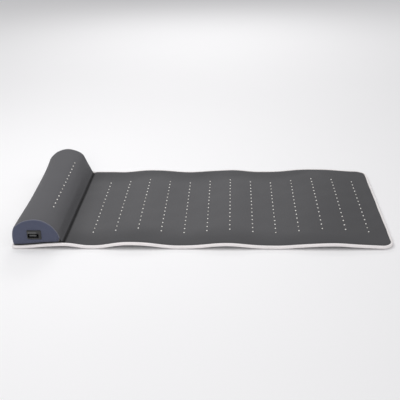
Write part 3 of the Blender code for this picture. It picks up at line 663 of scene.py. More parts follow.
lens_finish = make_lens_finish()
lenses = len(ROW_Y)
upright = np.broadcast_to(np.eye(3), (lenses, 3, 3))
for row, x in enumerate(ROW_X):
    y = np.linspace(ROW_Y[0] - STRIP_END, ROW_Y[-1] + STRIP_END, 56)
    base = box_grid((x - STRIP_HALF, x + STRIP_HALF), y, STRIP_SEAT, FILM_TOP)
    base[..., 2] = lay(base[..., 0], base[..., 1], base[..., 2])
    foot = np.stack([np.full(lenses, x), ROW_Y, lay(x, ROW_Y, MAT)], -1)
    domes = lens_domes(foot, upright, LENS_STANDS, MAT - FILM_TOP + LENS_ROOT)
    strip = join_grids(f"lens_row_{row + 1:02d}", [base, domes])
    dress(strip, lens_finish)
    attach(strip, body_of_row(row))
    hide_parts(f"lens_strip_{row + 1:02d}")

# ---------------------------------------------------------------------------------------
# Top cover: charcoal close-woven cloth, stretched over the pad, pierced for every lens and
# stitched through along the crease at the foot of the bolster.
COVER_BASE = 0.0080
CHARCOAL = (0.090, 0.089, 0.093)


def make_eyelets_group():
    """Distance to the nearest point of a regular lattice of lenses, as a mask round each."""
    tree, given, out = shader_group(
        "eyelets", {"First X": 0, "Step X": 1, "Last X": 0, "First Y": 0, "Step Y": 1, "Last Y": 0,
                    "Inner": 0.0020, "Outer": 0.0036}, ("Mask",))
    split = node(tree, "SeparateXYZ", {0: given["Vector"]})
    squares = []
    for axis, letter in enumerate("XY"):
        first, step, last = (given[f"{word} {letter}"] for word in ("First", "Step", "Last"))
        steps = maths(tree, "DIVIDE", maths(tree, "SUBTRACT", split.outputs[axis], first), step)
        whole = maths(tree, "MINIMUM", maths(tree, "ROUND", steps), last)
        whole = maths(tree, "MAXIMUM", whole, 0.0)
        off = maths(tree, "MULTIPLY", maths(tree, "SUBTRACT", steps, whole), step)
        squares.append(maths(tree, "MULTIPLY", off, off))
    distance = maths(tree, "SQRT", maths(tree, "ADD", *squares))
    tree.links.new(remap(tree, distance, given["Outer"], given["Inner"]), out["Mask"])
    return tree


EYELETS = make_eyelets_group()


def cover_cloth(name, lattice, seam, colour, shaded_from):
    """Charcoal cover: cloth pulled in round each lens with a painted shadow ring round it, and a
    near black painted shadow in the sewn crease.

    A broader painted shade darkens it beside the crease, and another painted shade darkens it
    along each axis by up to a quarter, outwards from the first end of each span in the last
    argument.
    """
    made, tree, shader = woven(name, colour, 0.0011, 0.00012, 0.88, 0.05, 0.16, 0.11)
    flat = node(tree, "UVMap", uv_map="cloth").outputs[0]
    rings = group_node(tree, EYELETS, vector=flat, **lattice)["Mask"]
    split = node(tree, "SeparateXYZ", {0: flat})
    off_seam = maths(tree, "ABSOLUTE", maths(tree, "SUBTRACT", split.outputs[0], seam))
    # Painted shadow: near black within 8.5 mm of the crease, and a broad painted shade up to 50 mm
    # beside it
    crease_shadow = maths(tree, "MULTIPLY", remap(tree, off_seam, 0.0085, 0.0022), 0.93)
    shaded = maths(tree, "MULTIPLY", remap(tree, off_seam, 0.050, 0.004), 0.20)
    # Painted shadow ring round each lens, together with the crease's painted shade
    shade = maths(tree, "MAXIMUM", maths(tree, "MULTIPLY", rings, 0.70),
                  maths(tree, "MAXIMUM", crease_shadow, shaded))
    (x_low, x_high), (y_low, y_high) = shaded_from
    # Painted shade: darker outwards along each axis, towards the foot and the side edges
    falloff_shade = maths(tree, "MAXIMUM", remap(tree, split.outputs[0], x_low, x_high),
                     remap(tree, maths(tree, "ABSOLUTE", split.outputs[1]), y_low, y_high))
    cloth = shader.inputs["Base Color"].links[0].from_socket
    # The painted shade darkens the cloth by up to a quarter, towards near black
    cloth = mixed(tree, maths(tree, "MULTIPLY", falloff_shade, 0.31), cloth, (0.010, 0.010, 0.012))
    # The painted shadows darken the cloth towards near black
    feed(tree, shader, base_color=mixed(tree, shade, cloth, (0.006, 0.006, 0.007)))
    threads = shader.inputs["Normal"].links[0].from_node
    dimple = node(tree, "Bump", {"Height": rings, "Distance": 0.0004, "Strength": 0.6}, invert=True)
    tree.links.new(dimple.outputs[0], threads.inputs["Normal"])
    return made


def lattice_of(x, y):
    """First place, spacing and last number along each axis, for the eyelets' group."""
    given = {}
    for letter, places in (("x", x), ("y", y)):
        step = places[1] - places[0] if len(places) > 1 else 1.0
        given |= {f"first_{letter}": float(places[0]), f"step_{letter}": float(step),
                  f"last_{letter}": len(places) - 1.0}
    return given


# Painted shade darkens the mat's cover from x 0.05 to 0.42 m towards the foot, and from 0.12 to
# 0.205 m out to the front and rear edges
cover_finish = cover_cloth("charcoal cover", lattice_of(ROW_X, ROW_Y), CREASE, CHARCOAL,
                           ((0.05, 0.42), (0.12, 0.205)))
for part, (_, _, fold, panels) in LENGTHS.items():
    start, end = sheet_ends(part, EDGE)
    cover = sheet_slab(f"mat_cover_{part}", start, end, EDGE, COVER_BASE, MAT)
    dress(cover, cover_finish)
    bend_over(cover)
    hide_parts(*(f"top_cover_{panel}" for panel in panels))

# ---------------------------------------------------------------------------------------
# Edge binding: pale ribbed tape folded round the raw edges of all the sheets and sewn
# through with one line of stitches near its inner edge.
TAPE_HALF, TAPE_BASE, TAPE_HEIGHT = 0.0030, 0.0008, 0.0074
TAPE_POWER = 2.7                # of the superellipse; 2 would be an ellipse
TAPE_STEP = 0.004               # between the points of its path
RIB, STITCH = 0.0012, 0.0034    # from one rib, or stitch, to the next
TURN = np.linspace(0, 2 * np.pi, 29)        # round its cross section, from the outer side


def corner(centre_x, centre_y, radius, start):
    """Quarter circle, anticlockwise from start in degrees."""
    angle = np.radians(np.linspace(start, start + 90, 13))
    return np.stack([centre_x + radius * np.cos(angle), centre_y + radius * np.sin(angle)], -1)


def straight(start, end, y):
    """Points TAPE_STEP apart along X at y, from start towards end and short of it."""
    x = np.arange(start, end, math.copysign(TAPE_STEP, end - start))
    return np.stack([x, np.full(len(x), y)], -1)


def edge_path(part):
    """Middle line of the binding of one length, anticlockwise from above."""
    side = REAR - TAPE_HALF
    if part == "upper":
        x, radius = HEAD + HEAD_CORNER, HEAD_CORNER - TAPE_HALF
        cy = REAR - HEAD_CORNER
        return np.concatenate([straight(MEET, x, side), corner(x, cy, radius, 90)[:-1],
                               corner(x, -cy, radius, 180), straight(x + TAPE_STEP, MEET, -side),
                               [[MEET, -side]]])
    x, radius = FOOT - FOOT_CORNER, FOOT_CORNER - TAPE_HALF
    cy = REAR - FOOT_CORNER
    return np.concatenate([straight(MEET, x, -side), corner(x, -cy, radius, -90)[:-1],
                           corner(x, cy, radius, 0), straight(x - TAPE_STEP, MEET, side),
                           [[MEET, side]]])


def make_tape(part):
    """Superellipse swept along the edge; it leans with the path and rises with the mat."""
    path = edge_path(part)
    run = np.gradient(path, axis=0)
    run /= np.linalg.norm(run, axis=1)[:, None]
    outward = np.stack([run[:, 1], -run[:, 0]], -1)
    right, up = (np.sign(f(TURN)) * np.abs(f(TURN)) ** (2 / TAPE_POWER) for f in (np.cos, np.sin))
    side, up = TAPE_HALF * right, TAPE_BASE + TAPE_HEIGHT / 2 * (1 + up)
    spot = path[:, None] + side[None, :, None] * outward[:, None]
    rise = mat_rise(path[:, 0], path[:, 1])[:, None]
    grid = np.concatenate([spot, (up + rise)[..., None]], -1)
    middle = grid[:, :-1].mean(1)
    grid = np.concatenate([np.broadcast_to(middle[0], grid[0].shape)[None], grid,
                           np.broadcast_to(middle[-1], grid[0].shape)[None]])
    length = np.concatenate([[0], np.cumsum(np.linalg.norm(np.diff(path, axis=0), axis=1))])
    length = np.concatenate([[length[0]], length, [length[-1]]])
    around = np.concatenate([[0], np.cumsum(np.hypot(np.diff(side), np.diff(up)))])
    flat = np.stack(np.broadcast_arrays(length[:, None], around), -1)
    return weld(make_piece(f"binding_{part}", grid, cells(*grid.shape[:2]), flat)), around


def make_tape_finish():
    """Ribbed tape: fine ribs across it, one row of stitches, and dust along its outer face."""
    made, tree, shader = new_finish("ribbed tape", 0.80, sheen_weight=0.2, sheen_roughness=0.4)
    flat = node(tree, "UVMap", uv_map="cloth").outputs[0]
    split = node(tree, "SeparateXYZ", {0: flat})
    ribs = maths(tree, "SINE", maths(tree, "MULTIPLY", split.outputs[0], 2 * math.pi / RIB))
    threads = group_node(tree, WEAVE, vector=flat, pitch=0.0006, slub=0.5)
    # the stitches lie on the tape's upper side, near its inner edge
    step = maths(tree, "FRACT", maths(tree, "DIVIDE", split.outputs[0], STITCH))
    dash = remap(tree, maths(tree, "PINGPONG", step, 0.5), 0.10, 0.16)
    off_line = maths(tree, "ABSOLUTE", maths(tree, "SUBTRACT", split.outputs[1], STITCH_AROUND))
    line = remap(tree, off_line, 0.00055, 0.00025)
    stitch = maths(tree, "MULTIPLY", dash, line)
    holes = maths(tree, "SUBTRACT", line, stitch)
    soil = group_node(tree, PATCHES, vector=flat, size=0.05)["Mask"]
    tape = mixed(tree, threads["Shade"], (0.86, 0.82, 0.815), (0.95, 0.91, 0.905))
    soiled = mixed(tree, maths(tree, "MULTIPLY", soil, 0.14), tape, (0.68, 0.65, 0.64))
    sewn = mixed(tree, stitch, soiled, (0.80, 0.78, 0.76))
    pierced = mixed(tree, maths(tree, "MULTIPLY", holes, 0.6), sewn, (0.20, 0.19, 0.18))
    feed(tree, shader, base_color=pierced, roughness=remap(tree, soil, 0, 1, 0.74, 0.86))
    height = maths(tree, "MULTIPLY_ADD", ribs, 0.25, threads["Height"])
    height = maths(tree, "MULTIPLY_ADD", stitch, 2.0, maths(tree, "SUBTRACT", height, line))
    bump(tree, shader, height, 0.00012)
    return made


tapes = {}
for part in LENGTHS:
    tapes[part], around = make_tape(part)
STITCH_AROUND = float(np.interp(105, np.degrees(TURN), around))
tape_finish = make_tape_finish()
TAPE_NODES = {"upper": ("edge_binding_head", "edge_binding_middle_front",
                        "edge_binding_middle_back"),
              "lower": ("edge_binding_foot",)}
for part, (_, _, fold, _) in LENGTHS.items():
    dress(tapes[part], tape_finish)
    bend_over(tapes[part])
    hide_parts(*TAPE_NODES[part])

# ---------------------------------------------------------------------------------------
# Bolster foam: a firm half-round block that stands on the mat under its own cover, with a
# pocket at the front end for the control box and a groove for its row of lenses.
END_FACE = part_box("front_end_cap")[0].y
CAP_TURN = 0.0034               # the end caps' rounded rim begins this far from their face
FOAM_INSET, FOAM_SHORT = 0.0014, 0.0020     # inside the outline, and from each end seam
FOAM_SHARE = 0.885              # of the outline that the foam follows, from the head side
SEAM = -END_FACE - CAP_TURN + 0.0006        # the cover's ends, from the middle
SAG = 0.0025                    # of the head side, halfway between the end caps
ROW_AT = 0.0880                 # the lens row, from the head end
ROW_SHARE = 0.635               # and as a share of the outline's length
# Corners of the bolster's outline in millimetres, from the head end and above the floor. Its
# rear end has been left plumper than the front one, and both flare out to the crease.
FRONT_OUTLINE = ((5, 9), (3.4, 15), (3, 24), (3.4, 34), (6, 47.5), (12.2, 57), (28, 67.5),
                 (43, 72.4), (59.5, 74.6), (76, 72), (89.5, 65.4), (102.5, 55), (112.3, 40),
                 (116, 26), (119, 15.5), (121.6, 9.8), (124.5, 6.0))
REAR_OUTLINE = ((5, 9), (2.6, 15), (0, 24), (-1.2, 34), (-0.4, 47), (6.5, 59), (19, 70.5),
                (31.6, 77.3), (44, 81.2), (56.5, 82.8), (68, 80.9), (80, 77), (90.5, 71.8),
                (98.5, 65.4), (104, 52.5), (111, 35), (119, 17.5), (122.4, 10.2), (124.5, 6.0))


def smooth_outline(corners):
    """Outline with its corners cut three times, and each point's share of the length.

    The shares are stretched a little, so that the lens row has the same one at both ends.
    """
    line = np.array(corners) / 1000 + (HEAD, 0)
    for _ in range(3):
        cut = np.stack([line[:-1] * 0.75 + line[1:] * 0.25, line[:-1] * 0.25 + line[1:] * 0.75], 1)
        line = np.concatenate([line[:1], cut.reshape(-1, 2), line[-1:]])
    run = np.concatenate([[0], np.cumsum(np.linalg.norm(np.diff(line, axis=0), axis=1))])
    half = len(line) // 2
    row_run = np.interp(HEAD + ROW_AT, line[half:, 0], run[half:])
    return np.interp(run, [0, row_run, run[-1]], [0, ROW_SHARE, 1]), line, float(run[-1])


OUTLINES = (smooth_outline(FRONT_OUTLINE), smooth_outline(REAR_OUTLINE))
ARCH_LENGTH = (OUTLINES[0][2] + OUTLINES[1][2]) / 2


def arch(share, y):
    """Place in X and Z at a share of the bolster's outline, at y, and the outward direction.

    The front outline runs into the rear one with the fourth power of the way there. The head
    side sags in between, as half a sine along the way.
    """
    share, y = np.broadcast_arrays(share, y)
    way = np.clip((y + SEAM) / (2 * SEAM), 0, 1)[..., None]

    def spot(at):
        front, rear = (np.stack([np.interp(at, shares, line[:, axis]) for axis in (0, 1)], -1)
                       for shares, line, _ in OUTLINES)
        return front + way ** 4 * (rear - front)

    place = spot(share)
    step = spot(np.minimum(share + 0.01, 1)) - spot(np.maximum(share - 0.01, 0))
    outward = np.stack([-step[..., 1], step[..., 0]], -1)
    outward /= np.linalg.norm(outward, axis=-1)[..., None]
    side = np.clip((HEAD + 0.058 - place[..., :1]) / 0.045, 0, 1)
    return place - SAG * np.sin(np.pi * way) * side ** 2 * (3 - 2 * side) * outward, outward


def arch_grid(share, y, inset=0.0):
    """Grid of points that lie inset inside the outline, and lifted by the mat below."""
    place, outward = arch(share[:, None], y)
    place = place - np.broadcast_to(inset, place.shape[:2])[..., None] * outward
    return stand_on_mat(np.stack([place[..., 0], np.broadcast_to(y, place.shape[:2]),
                                  place[..., 1]], -1))


def stand_on_mat(points):
    """Lift a piece of the bolster by the mat's rise below it, fading out 35 mm up."""
    fade = np.clip(1 - (points[..., 2] - MAT) / 0.035, 0, 1)
    lifted = points.copy()
    lifted[..., 2] += mat_rise(points[..., 0], points[..., 1]) * fade
    return lifted


def carve(piece, tool):
    """Cut the tool out of a piece, and remove the tool."""
    cut = piece.modifiers.new("cut", "BOOLEAN")
    cut.operation, cut.solver, cut.object = "DIFFERENCE", "EXACT", tool
    shown = piece.evaluated_get(bpy.context.evaluated_depsgraph_get())
    mesh = bpy.data.meshes.new_from_object(shown)
    piece.modifiers.clear()
    piece.data = mesh
    bpy.data.objects.remove(tool, do_unlink=True)
    return piece


def row_place(points):
    """Carry a strip that lies flat at x = 0, z = MAT to its seat under the bolster's cover."""
    place, outward = arch(ROW_SHARE, points[..., 1])
    level = points[..., 2] - MAT
    return np.stack([place[..., 0] + level * outward[..., 0] + points[..., 0] * outward[..., 1],
                     points[..., 1],
                     place[..., 1] + level * outward[..., 1] - points[..., 0] * outward[..., 0]], -1)


def make_bolster_foam():
    """Block under the arch. It stops short of the crease, and its base is flat on the mat."""
    half = SEAM - FOAM_SHORT
    share, y = np.linspace(0, FOAM_SHARE, 85), np.linspace(-half, half, 60)
    outer = arch_grid(share, y, FOAM_INSET)
    inner = outer.copy()
    across_base = np.linspace(0, 1, len(share))[:, None]
    inner[..., 0] = outer[0, :, 0] * (1 - across_base) + outer[-1, :, 0] * across_base
    inner[..., 2] = lay(inner[..., 0], inner[..., 1], MAT) + ROOM
    outer[[0, -1]] = inner[[0, -1]]
    return weld(sandwich("bolster_foam_block", outer, inner))


bolster_foam = make_bolster_foam()
low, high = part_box("control_box_tray")
carve(bolster_foam, join_grids("pocket", [box_grid(
    (low.x - ROOM, high.x + ROOM), np.array([-SEAM - 0.01, high.y + ROOM]),
    low.z - ROOM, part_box("control_box_lid")[1].z + ROOM)]))
BOLSTER_Y = np.linspace(FRONT + 0.0943, REAR - 0.0836, 14)
strip_y = np.linspace(BOLSTER_Y[0] - STRIP_END, BOLSTER_Y[-1] + STRIP_END, 50)
groove_y = np.linspace(strip_y[0] - ROOM, strip_y[-1] + ROOM, 40)
carve(bolster_foam, join_grids("groove", [row_place(box_grid(
    (-STRIP_HALF - ROOM, STRIP_HALF + ROOM), groove_y, GROOVE_FLOOR, MAT + 0.004))]))
dress(bolster_foam, foam_finish)
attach(bolster_foam, "head")
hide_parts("bolster_foam")

# ---------------------------------------------------------------------------------------
# Bolster cover: the same charcoal cloth, pulled over the foam, sewn to the end caps and
# stitched down to the mat along the crease, where it flares out and sinks in.
COVER = 0.0009
BOLSTER_CHARCOAL = (0.090, 0.089, 0.095)
TUCK, TUCK_WIDTH = 0.0011, 0.0016           # drawn in at each end seam
SLACK = 0.00035


def bolster_cover_grid(share, y, inset):
    """The arch, drawn in towards each end seam and sagging a little between."""
    tuck = TUCK * np.exp(-(SEAM - np.abs(y)) / TUCK_WIDTH) + inset
    soft = SLACK * np.sin(31 * y + 0.5) * np.sin(np.pi * share)[:, None]
    return arch_grid(share, y, tuck - soft)


share = np.linspace(0, 1, 120)
end_lines = np.array([0, 0.0006, 0.0014, 0.0026, 0.0045, 0.0075, 0.0115, 0.017])
cover_y = np.concatenate([-SEAM + end_lines, np.linspace(-SEAM + 0.022, SEAM - 0.022, 78),
                          SEAM - end_lines[::-1]])
flat = np.stack(np.broadcast_arrays(share[:, None] * ARCH_LENGTH, cover_y), -1)
bolster_cover = weld(sandwich("bolster_cloth", bolster_cover_grid(share, cover_y, 0.0),
                              bolster_cover_grid(share, cover_y, COVER), flat=flat))
# Painted shadow in the crease at the end of the arch; the spans lie beyond the cloth, so it gets no
# painted shade along its axes
bolster_finish = cover_cloth(
    "charcoal bolster cover", lattice_of([ROW_SHARE * ARCH_LENGTH], BOLSTER_Y),
    ARCH_LENGTH, BOLSTER_CHARCOAL, ((1.0, 2.0), (1.0, 2.0)))
dress(bolster_cover, bolster_finish)
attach(bolster_cover, "head")
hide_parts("bolster_cover")

# ---------------------------------------------------------------------------------------
# Bolster's lens row: the same moulded strip and circuit as in the mat, a little shorter,
# seated in the foam on the side that faces the user.
BASE_THICK, SKIRT = 0.0012, 0.0016
seat = MAT - COVER - ROOM
base = row_place(box_grid((-STRIP_HALF, STRIP_HALF), strip_y, seat - BASE_THICK, seat))
place, outward = arch(ROW_SHARE, BOLSTER_Y)
frames = np.zeros((len(BOLSTER_Y), 3, 3))
frames[:, 0, ::2] = outward[:, ::-1] * (1, -1)
frames[:, 1, 1] = 1
frames[:, 2, ::2] = outward
foot = np.insert(place, 1, BOLSTER_Y, axis=1)
domes = lens_domes(foot, frames, LENS_STANDS, SKIRT)
bolster_lenses = join_grids("lens_row_bolster", [base, domes])
dress(bolster_lenses, lens_finish)
emitter = row_place(box_grid((-STRIP_HALF, STRIP_HALF), strip_y, STRIP_BASE, STRIP_TOP))
bolster_emitter = join_grids("emitter_bolster", [emitter])
dress(bolster_emitter, make_emitter_finish("flexible circuit, bolster"))
for piece, cad_node in ((bolster_lenses, "bolster_lens_strip"),
                        (bolster_emitter, "bolster_emitter_strip")):
    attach(piece, "head")
    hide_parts(cad_node)

# ---------------------------------------------------------------------------------------
# End caps: navy cloth over a thin padded board, with a soft rounded rim sewn to the cover.
# The front one has an opening for the socket panel.
NAVY = (0.066, 0.074, 0.118)
BOARD = 0.0012                  # the padded board behind the cloth
DOME = 0.0011                   # rise of the face between the opening and the rim
CAP_FOOT = 0.0076               # the rim stops this far short of the crease
OPENING = (0.0316, 0.0216)      # for the panel's plug
NO_OPENING = (2e-7, 2e-7)       # the rear cap's grid closes to a point
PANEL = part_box("socket_bezel")
PANEL_X, PANEL_Z = (PANEL[0].x + PANEL[1].x) / 2, (PANEL[0].z + PANEL[1].z) / 2


def rounded_rectangle(width, height, radius, steps=6, centre=(0.0, 0.0)):
    """Closed outline in X and Z of a rectangle with quarter-circle corners, anticlockwise."""
    angle = np.radians(np.arange(0, 360, 90)[:, None] + np.linspace(0, 90, steps + 1))
    corner_x = (width / 2 - radius) * np.array([1, -1, -1, 1])[:, None]
    corner_z = (height / 2 - radius) * np.array([1, 1, -1, -1])[:, None]
    outline = np.stack([corner_x + radius * np.cos(angle), corner_z + radius * np.sin(angle)], -1)
    return outline.reshape(-1, 2) + np.array(centre)


def make_cap(name, side, width, height):
    """Loft from the opening, width by height, to the rim.

    The face is a little domed between the two, and near the rim it follows a quarter circle
    of radius CAP_TURN back to the seam. The rim is the arch, less the flare, and a base line.
    """
    place, outward = arch(np.linspace(0, 0.945, 130), side * SEAM)
    rim = place - 0.0004 * outward
    rim = rim[rim[:, 0] < CREASE - CAP_FOOT]
    base = np.stack([np.linspace(rim[-1, 0], rim[0, 0], 34)[1:], np.full(33, MAT + ROOM)], -1)
    rim = np.concatenate([rim, base])
    centre = np.array([PANEL_X, PANEL_Z])
    reach = np.linalg.norm(rim - centre, axis=1)
    unit = (rim - centre) / reach[:, None]
    start = ((np.abs(2 * unit) / (width, height)) ** 12).sum(1) ** (-1 / 12)
    from_rim = CAP_TURN * (1 - np.cos(np.radians(np.arange(0, 91, 15)))) + 0.00003
    share = np.linspace(0, 1, 15)[None, :]
    near = np.minimum(from_rim[None, ::-1], (reach - start)[:, None] * 0.5)
    inner = start[:, None] + share * (reach - start - near[:, 0])[:, None]
    radii = np.concatenate([inner[:, :-1], reach[:, None] - near], 1)
    spot = centre + radii[..., None] * unit[:, None]
    gap = np.linalg.norm(spot[:, :, None] - rim, axis=-1).min(-1)
    gap[:, -1] = 0
    turn = np.clip(gap / CAP_TURN, 0, 1)
    depth = CAP_TURN * (1 - np.sqrt(1 - (1 - turn) ** 2))
    dome = DOME * np.sin(np.pi * (radii - start[:, None]) / (reach - start)[:, None]) ** 2
    face = -END_FACE - depth + dome - 0.0001
    back = np.minimum(face - BOARD, -END_FACE - 0.0028)
    shrink = 1 - BOARD / radii * (turn < 1)
    under = centre + (radii * shrink)[..., None] * unit[:, None]
    grids = []
    for flat_spot, y in ((spot, face), (under, back)):
        grid = stand_on_mat(np.stack([flat_spot[..., 0], side * y, flat_spot[..., 1]], -1))
        grids.append(np.concatenate([grid, grid[:1]]))
    flat = np.concatenate([spot, spot[:1]])
    if side < 0:
        grids, flat = [g[::-1] for g in grids], flat[::-1]
    return weld(sandwich(name, *grids, flat=flat, looped=True), 2e-6, 60)


def make_cap_finish():
    """Smooth navy cloth with a fine weave, and a painted highlight: lighter and greyer on the
    rounded rim, where it turns back from the face.
    """
    made, tree, shader = woven("navy cloth", NAVY, 0.0007, 0.00006, 0.72, 0.35, 0.12, 0.035)
    place = node(tree, "SeparateXYZ", {0: node(tree, "TexCoord").outputs["Object"]})
    from_middle = maths(tree, "ABSOLUTE", place.outputs[1])
    # Painted highlight on the rim, where it lies more than 1.6 mm back from the face
    rim = remap(tree, from_middle, -END_FACE - 0.0004, -END_FACE - 0.0016)
    cloth = shader.inputs["Base Color"].links[0].from_socket
    rim_highlight = mixed(tree, maths(tree, "MULTIPLY", rim, 0.6), cloth, (0.15, 0.155, 0.19))
    feed(tree, shader, base_color=rim_highlight)
    return made


cap_finish = make_cap_finish()
for name, side, opening, cad_node in (("front_cap", -1, OPENING, "front_end_cap"),
                                      ("rear_cap", 1, NO_OPENING, "rear_end_cap")):
    cap = make_cap(name, side, *opening)
    dress(cap, cap_finish)
    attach(cap, "head")
    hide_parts(cad_node)

# ---------------------------------------------------------------------------------------
# Socket panel: a satin black moulding pressed into the cap, with a flat contact tongue in
# its recess and a smoked light strip above. Behind it, the socket's shell is moulded too.
FLANGE = PANEL[0].y
TONGUE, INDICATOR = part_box("socket_tongue"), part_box("indicator_lens")
RECESS_X = (PANEL[0].x + 0.0017, PANEL[1].x - 0.0063)
RECESS_Z = (PANEL[0].z + 0.0038, PANEL[1].z - 0.0096)


def ring_loft(name, rings, closed=False):
    """Surface through a row of closed outlines, each with its Y; the ends are shut or joined."""
    grid = np.stack([np.stack([o[:, 0], np.full(len(o), y), o[:, 1]], -1) for o, y in rings])
    if closed:
        grid = np.concatenate([grid, grid[:1]])
    else:
        ends = [np.broadcast_to(g.mean(0), g.shape)[None] for g in (grid[0], grid[-1])]
        grid = np.concatenate([ends[0], grid, ends[1]])
    grid = np.concatenate([grid, grid[:, :1]], 1)
    return weld(make_piece(name, grid, cells(*grid.shape[:2]), grid[..., ::2]), sharp=35)


def make_bezel():
    """Flange with a softened edge and a plug behind it, and the recess through both."""
    width, height = PANEL[1].x - PANEL[0].x, PANEL[1].z - PANEL[0].z
    middle = (PANEL_X, PANEL_Z)
    hole = ((RECESS_X[0] + RECESS_X[1]) / 2, (RECESS_Z[0] + RECESS_Z[1]) / 2)
    deep, tall = RECESS_X[1] - RECESS_X[0], RECESS_Z[1] - RECESS_Z[0]
    flange_back, back = END_FACE - 0.0002, END_FACE + 0.003
    # Y, how much wider than the panel or the recess, and the corners' radius
    outside = ((FLANGE, -0.0010, 0.0018), (FLANGE + 0.00012, -0.0003, 0.0021),
               (FLANGE + 0.0004, 0, 0.0022), (flange_back, 0, 0.0022),
               (flange_back, -0.003, 0.0010), (back, -0.003, 0.0010))
    inside = ((back, 0, 0.0016), (FLANGE + 0.0006, 0, 0.0016), (FLANGE + 0.0002, 0.0002, 0.0017),
              (FLANGE, 0.0008, 0.0020))
    rings = [(rounded_rectangle(wide + more, high + more, radius, centre=centre), y)
             for steps, wide, high, centre in ((inside, deep, tall, hole),
                                               (outside, width, height, middle))
             for y, more, radius in steps]
    return ring_loft("panel_bezel", rings, closed=True)


def rounded_bar(name, box, radius, soft):
    """Bar along Y with rounded corners and a softened front edge."""
    low, high = box
    size, middle = high - low, ((low.x + high.x) / 2, (low.z + high.z) / 2)
    steps = ((2 * soft, low.y), (0.6 * soft, low.y + 0.3 * soft), (0, low.y + soft), (0, high.y))
    return ring_loft(name, [(rounded_rectangle(size.x - less, size.z - less, radius - less / 2,
                                               centre=middle), y) for less, y in steps])


def make_plastic_finish(name, colour, roughness, grain_size, coat):
    """Moulded plastic: a fine spark-eroded grain, faint flow marks and fine scratches."""
    made, tree, shader = new_finish(name, roughness, coat_weight=coat, coat_roughness=0.3)
    place = node(tree, "TexCoord").outputs["Object"]
    grain = node(tree, "TexNoise", {"Vector": place, "Scale": 1 / grain_size, "Detail": 2.0})
    stretched = node(tree, "Mapping", {0: place, 3: (900.0, 900.0, 60.0)})
    scratch = node(tree, "TexNoise", {"Vector": stretched.outputs[0], "Scale": 1.0, "Detail": 3.0})
    worn = remap(tree, scratch.outputs[0], 0.60, 0.72)
    rubbed = group_node(tree, PATCHES, vector=place, size=0.02)["Mask"]
    light = [min(c * 2.2 + 0.01, 1) for c in colour]
    marks = maths(tree, "MULTIPLY", worn, maths(tree, "MULTIPLY", rubbed, 0.35))
    feed(tree, shader, base_color=mixed(tree, marks, colour, light),
         roughness=remap(tree, rubbed, 0, 1, roughness + 0.06, roughness - 0.08))
    bump(tree, shader, grain.outputs[0], 0.00004)
    return made


def make_metal_finish():
    """Dull brushed contact metal with darker plating worn through in streaks."""
    made, tree, shader = new_finish("contact metal", 0.45, 0.3)
    place = node(tree, "TexCoord").outputs["Object"]
    stretched = node(tree, "Mapping", {0: place, 3: (80.0, 80.0, 5000.0)})
    brush = node(tree, "TexNoise", {"Vector": stretched.outputs[0], "Scale": 1.0, "Detail": 4.0})
    streaks = mixed(tree, brush.outputs[0], (0.07, 0.07, 0.07), (0.15, 0.15, 0.15))
    feed(tree, shader, base_color=streaks,
         roughness=remap(tree, brush.outputs[0], 0.3, 0.7, 0.30, 0.48))
    bump(tree, shader, brush.outputs[0], 0.00002)
    return made


black_plastic = make_plastic_finish("satin black plastic", (0.014,) * 3, 0.42, 0.0004, 0.15)
smoked_plastic = make_plastic_finish("smoked light strip", (0.10,) * 3, 0.25, 0.0009, 0.5)
metal = make_metal_finish()
bezel = make_bezel()
tongue = rounded_bar("contact_tongue", TONGUE, 0.0012, 0.0005)
indicator = rounded_bar("light_strip", INDICATOR, 0.0010, 0.0003)
for piece, finish, slot, cad_node in (
        (bezel, black_plastic, "bezel_plastic", "socket_bezel"),
        (tongue, metal, "contact_metal", "socket_tongue"),
        (indicator, smoked_plastic, "indicator", "indicator_lens")):
    dress(piece, finish)
    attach(piece, "head")
    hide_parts(cad_node)


def refinish(name, finish):
    """A CAD node keeps its shape and gets a better material."""
    nodes[name].data.materials.clear()
    nodes[name].data.materials.append(finish)


refinish("socket_shell", black_plastic)

# ---------------------------------------------------------------------------------------
# Control box: a moulded tray and lid in the bolster's foam, behind the socket, with the
# circuit board inside. The thermal cut-out is a flat metal case beside the first row.
box_plastic = make_plastic_finish("dark moulded plastic", (0.040, 0.040, 0.045), 0.50, 0.0008, 0.0)
refinish("control_box_tray", box_plastic)
refinish("control_box_lid", box_plastic)


def make_board_finish():
    """Green lacquer over copper tracks, with pale solder pads."""
    made, tree, shader = new_finish("green circuit board", 0.35, coat_weight=0.4)
    place = node(tree, "TexCoord").outputs["Object"]
    tracks = node(tree, "TexBrick", {"Vector": place, "Scale": 260.0, "Mortar Size": 0.06})
    pads = node(tree, "TexVoronoi", {"Vector": place, "Scale": 380.0})
    lacquer = mixed(tree, tracks.outputs["Fac"], (0.010, 0.085, 0.035), (0.03, 0.16, 0.07))
    spots = remap(tree, pads.outputs[0], 0.16, 0.12)
    feed(tree, shader, base_color=mixed(tree, spots, lacquer, (0.60, 0.58, 0.52)))
    bump(tree, shader, tracks.outputs["Fac"], 0.00005)
    return made


refinish("control_board", make_board_finish())
refinish("thermal_cutout", metal)

# ---------------------------------------------------------------------------------------
# Stage: a plain level floor of pale paper, three soft lights over it, an even sky, and a
# camera above and in front of the mat, tipped down to it.
FLOOR_HALF = 7.0
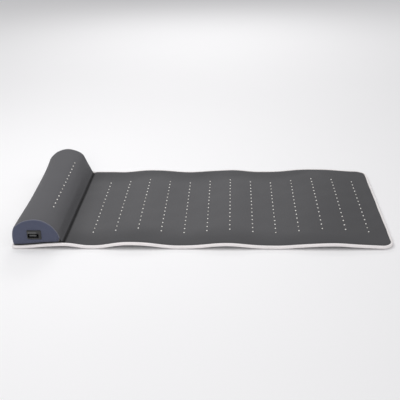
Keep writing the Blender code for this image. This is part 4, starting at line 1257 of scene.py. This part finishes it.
# Name, place, point aimed at, width and height, and power in watts
LIGHTS = (
    ("top softbox", (-0.45, 0.1, 1.3), (-0.2, 0, 0), (0.9, 0.9), 7),
    ("front softbox", (-0.3, -2.4, 1.3), (0, 0, 0), (1.6, 1.0), 13),
    ("rear softbox", (-0.10, 2.3, 1.25), (-0.05, 0, 0), (1.2, 0.5), 11),
)
SKY, SKY_STRENGTH = (0.985, 0.985, 1.0, 1.0), 0.58


def make_stage():
    """One level square sheet under the mat, in pale paper with a faint mottle."""
    side = np.array([-FLOOR_HALF, FLOOR_HALF])
    grid = np.stack(np.broadcast_arrays(side[:, None], side, 0.0), -1)
    floor = make_piece("floor", grid, cells(2, 2))
    made, tree, shader = new_finish("pale studio paper", 0.9)
    place = node(tree, "TexCoord").outputs["Object"]
    mottle = node(tree, "TexNoise", {"Vector": place, "Scale": 1.2, "Detail": 3.0})
    paper = mixed(tree, mottle.outputs[0], (0.90, 0.895, 0.90), (0.93, 0.925, 0.93))
    feed(tree, shader, base_color=paper)
    floor.data.materials.append(made)


def soft_light(name, place, aim, size, power):
    lamp = bpy.data.lights.new(name, "AREA")
    lamp.shape, lamp.size, lamp.size_y, lamp.energy = "RECTANGLE", *size, power
    item = bpy.data.objects.new(name, lamp)
    item.location = place
    item.rotation_euler = (Vector(aim) - Vector(place)).to_track_quat("-Z", "Y").to_euler()
    bpy.context.scene.collection.objects.link(item)


make_stage()
for light in LIGHTS:
    soft_light(*light)
world = bpy.data.worlds.new("studio")
world.use_nodes = True
background = world.node_tree.nodes["Background"]
background.inputs["Color"].default_value = SKY
background.inputs["Strength"].default_value = SKY_STRENGTH
bpy.context.scene.world = world
bpy.context.scene.view_settings.view_transform = "Standard"

LENS_MM, PITCH, YAW, ROLL = 67.86, math.radians(25.14), math.radians(2.82), math.radians(-1.22)
EYE = (0.0764, -1.7715, 0.8550)
camera = bpy.data.objects.new("camera", bpy.data.cameras.new("camera"))
camera.data.lens, camera.data.sensor_width = LENS_MM, 36.0
camera.data.clip_start, camera.data.clip_end = 0.05, 30.0
camera.matrix_world = (Matrix.Translation(EYE) @ Matrix.Rotation(YAW, 4, "Z")
                       @ Matrix.Rotation(math.pi / 2 - PITCH, 4, "X")
                       @ Matrix.Rotation(ROLL, 4, "Z"))
bpy.context.scene.collection.objects.link(camera)
bpy.context.scene.camera = camera
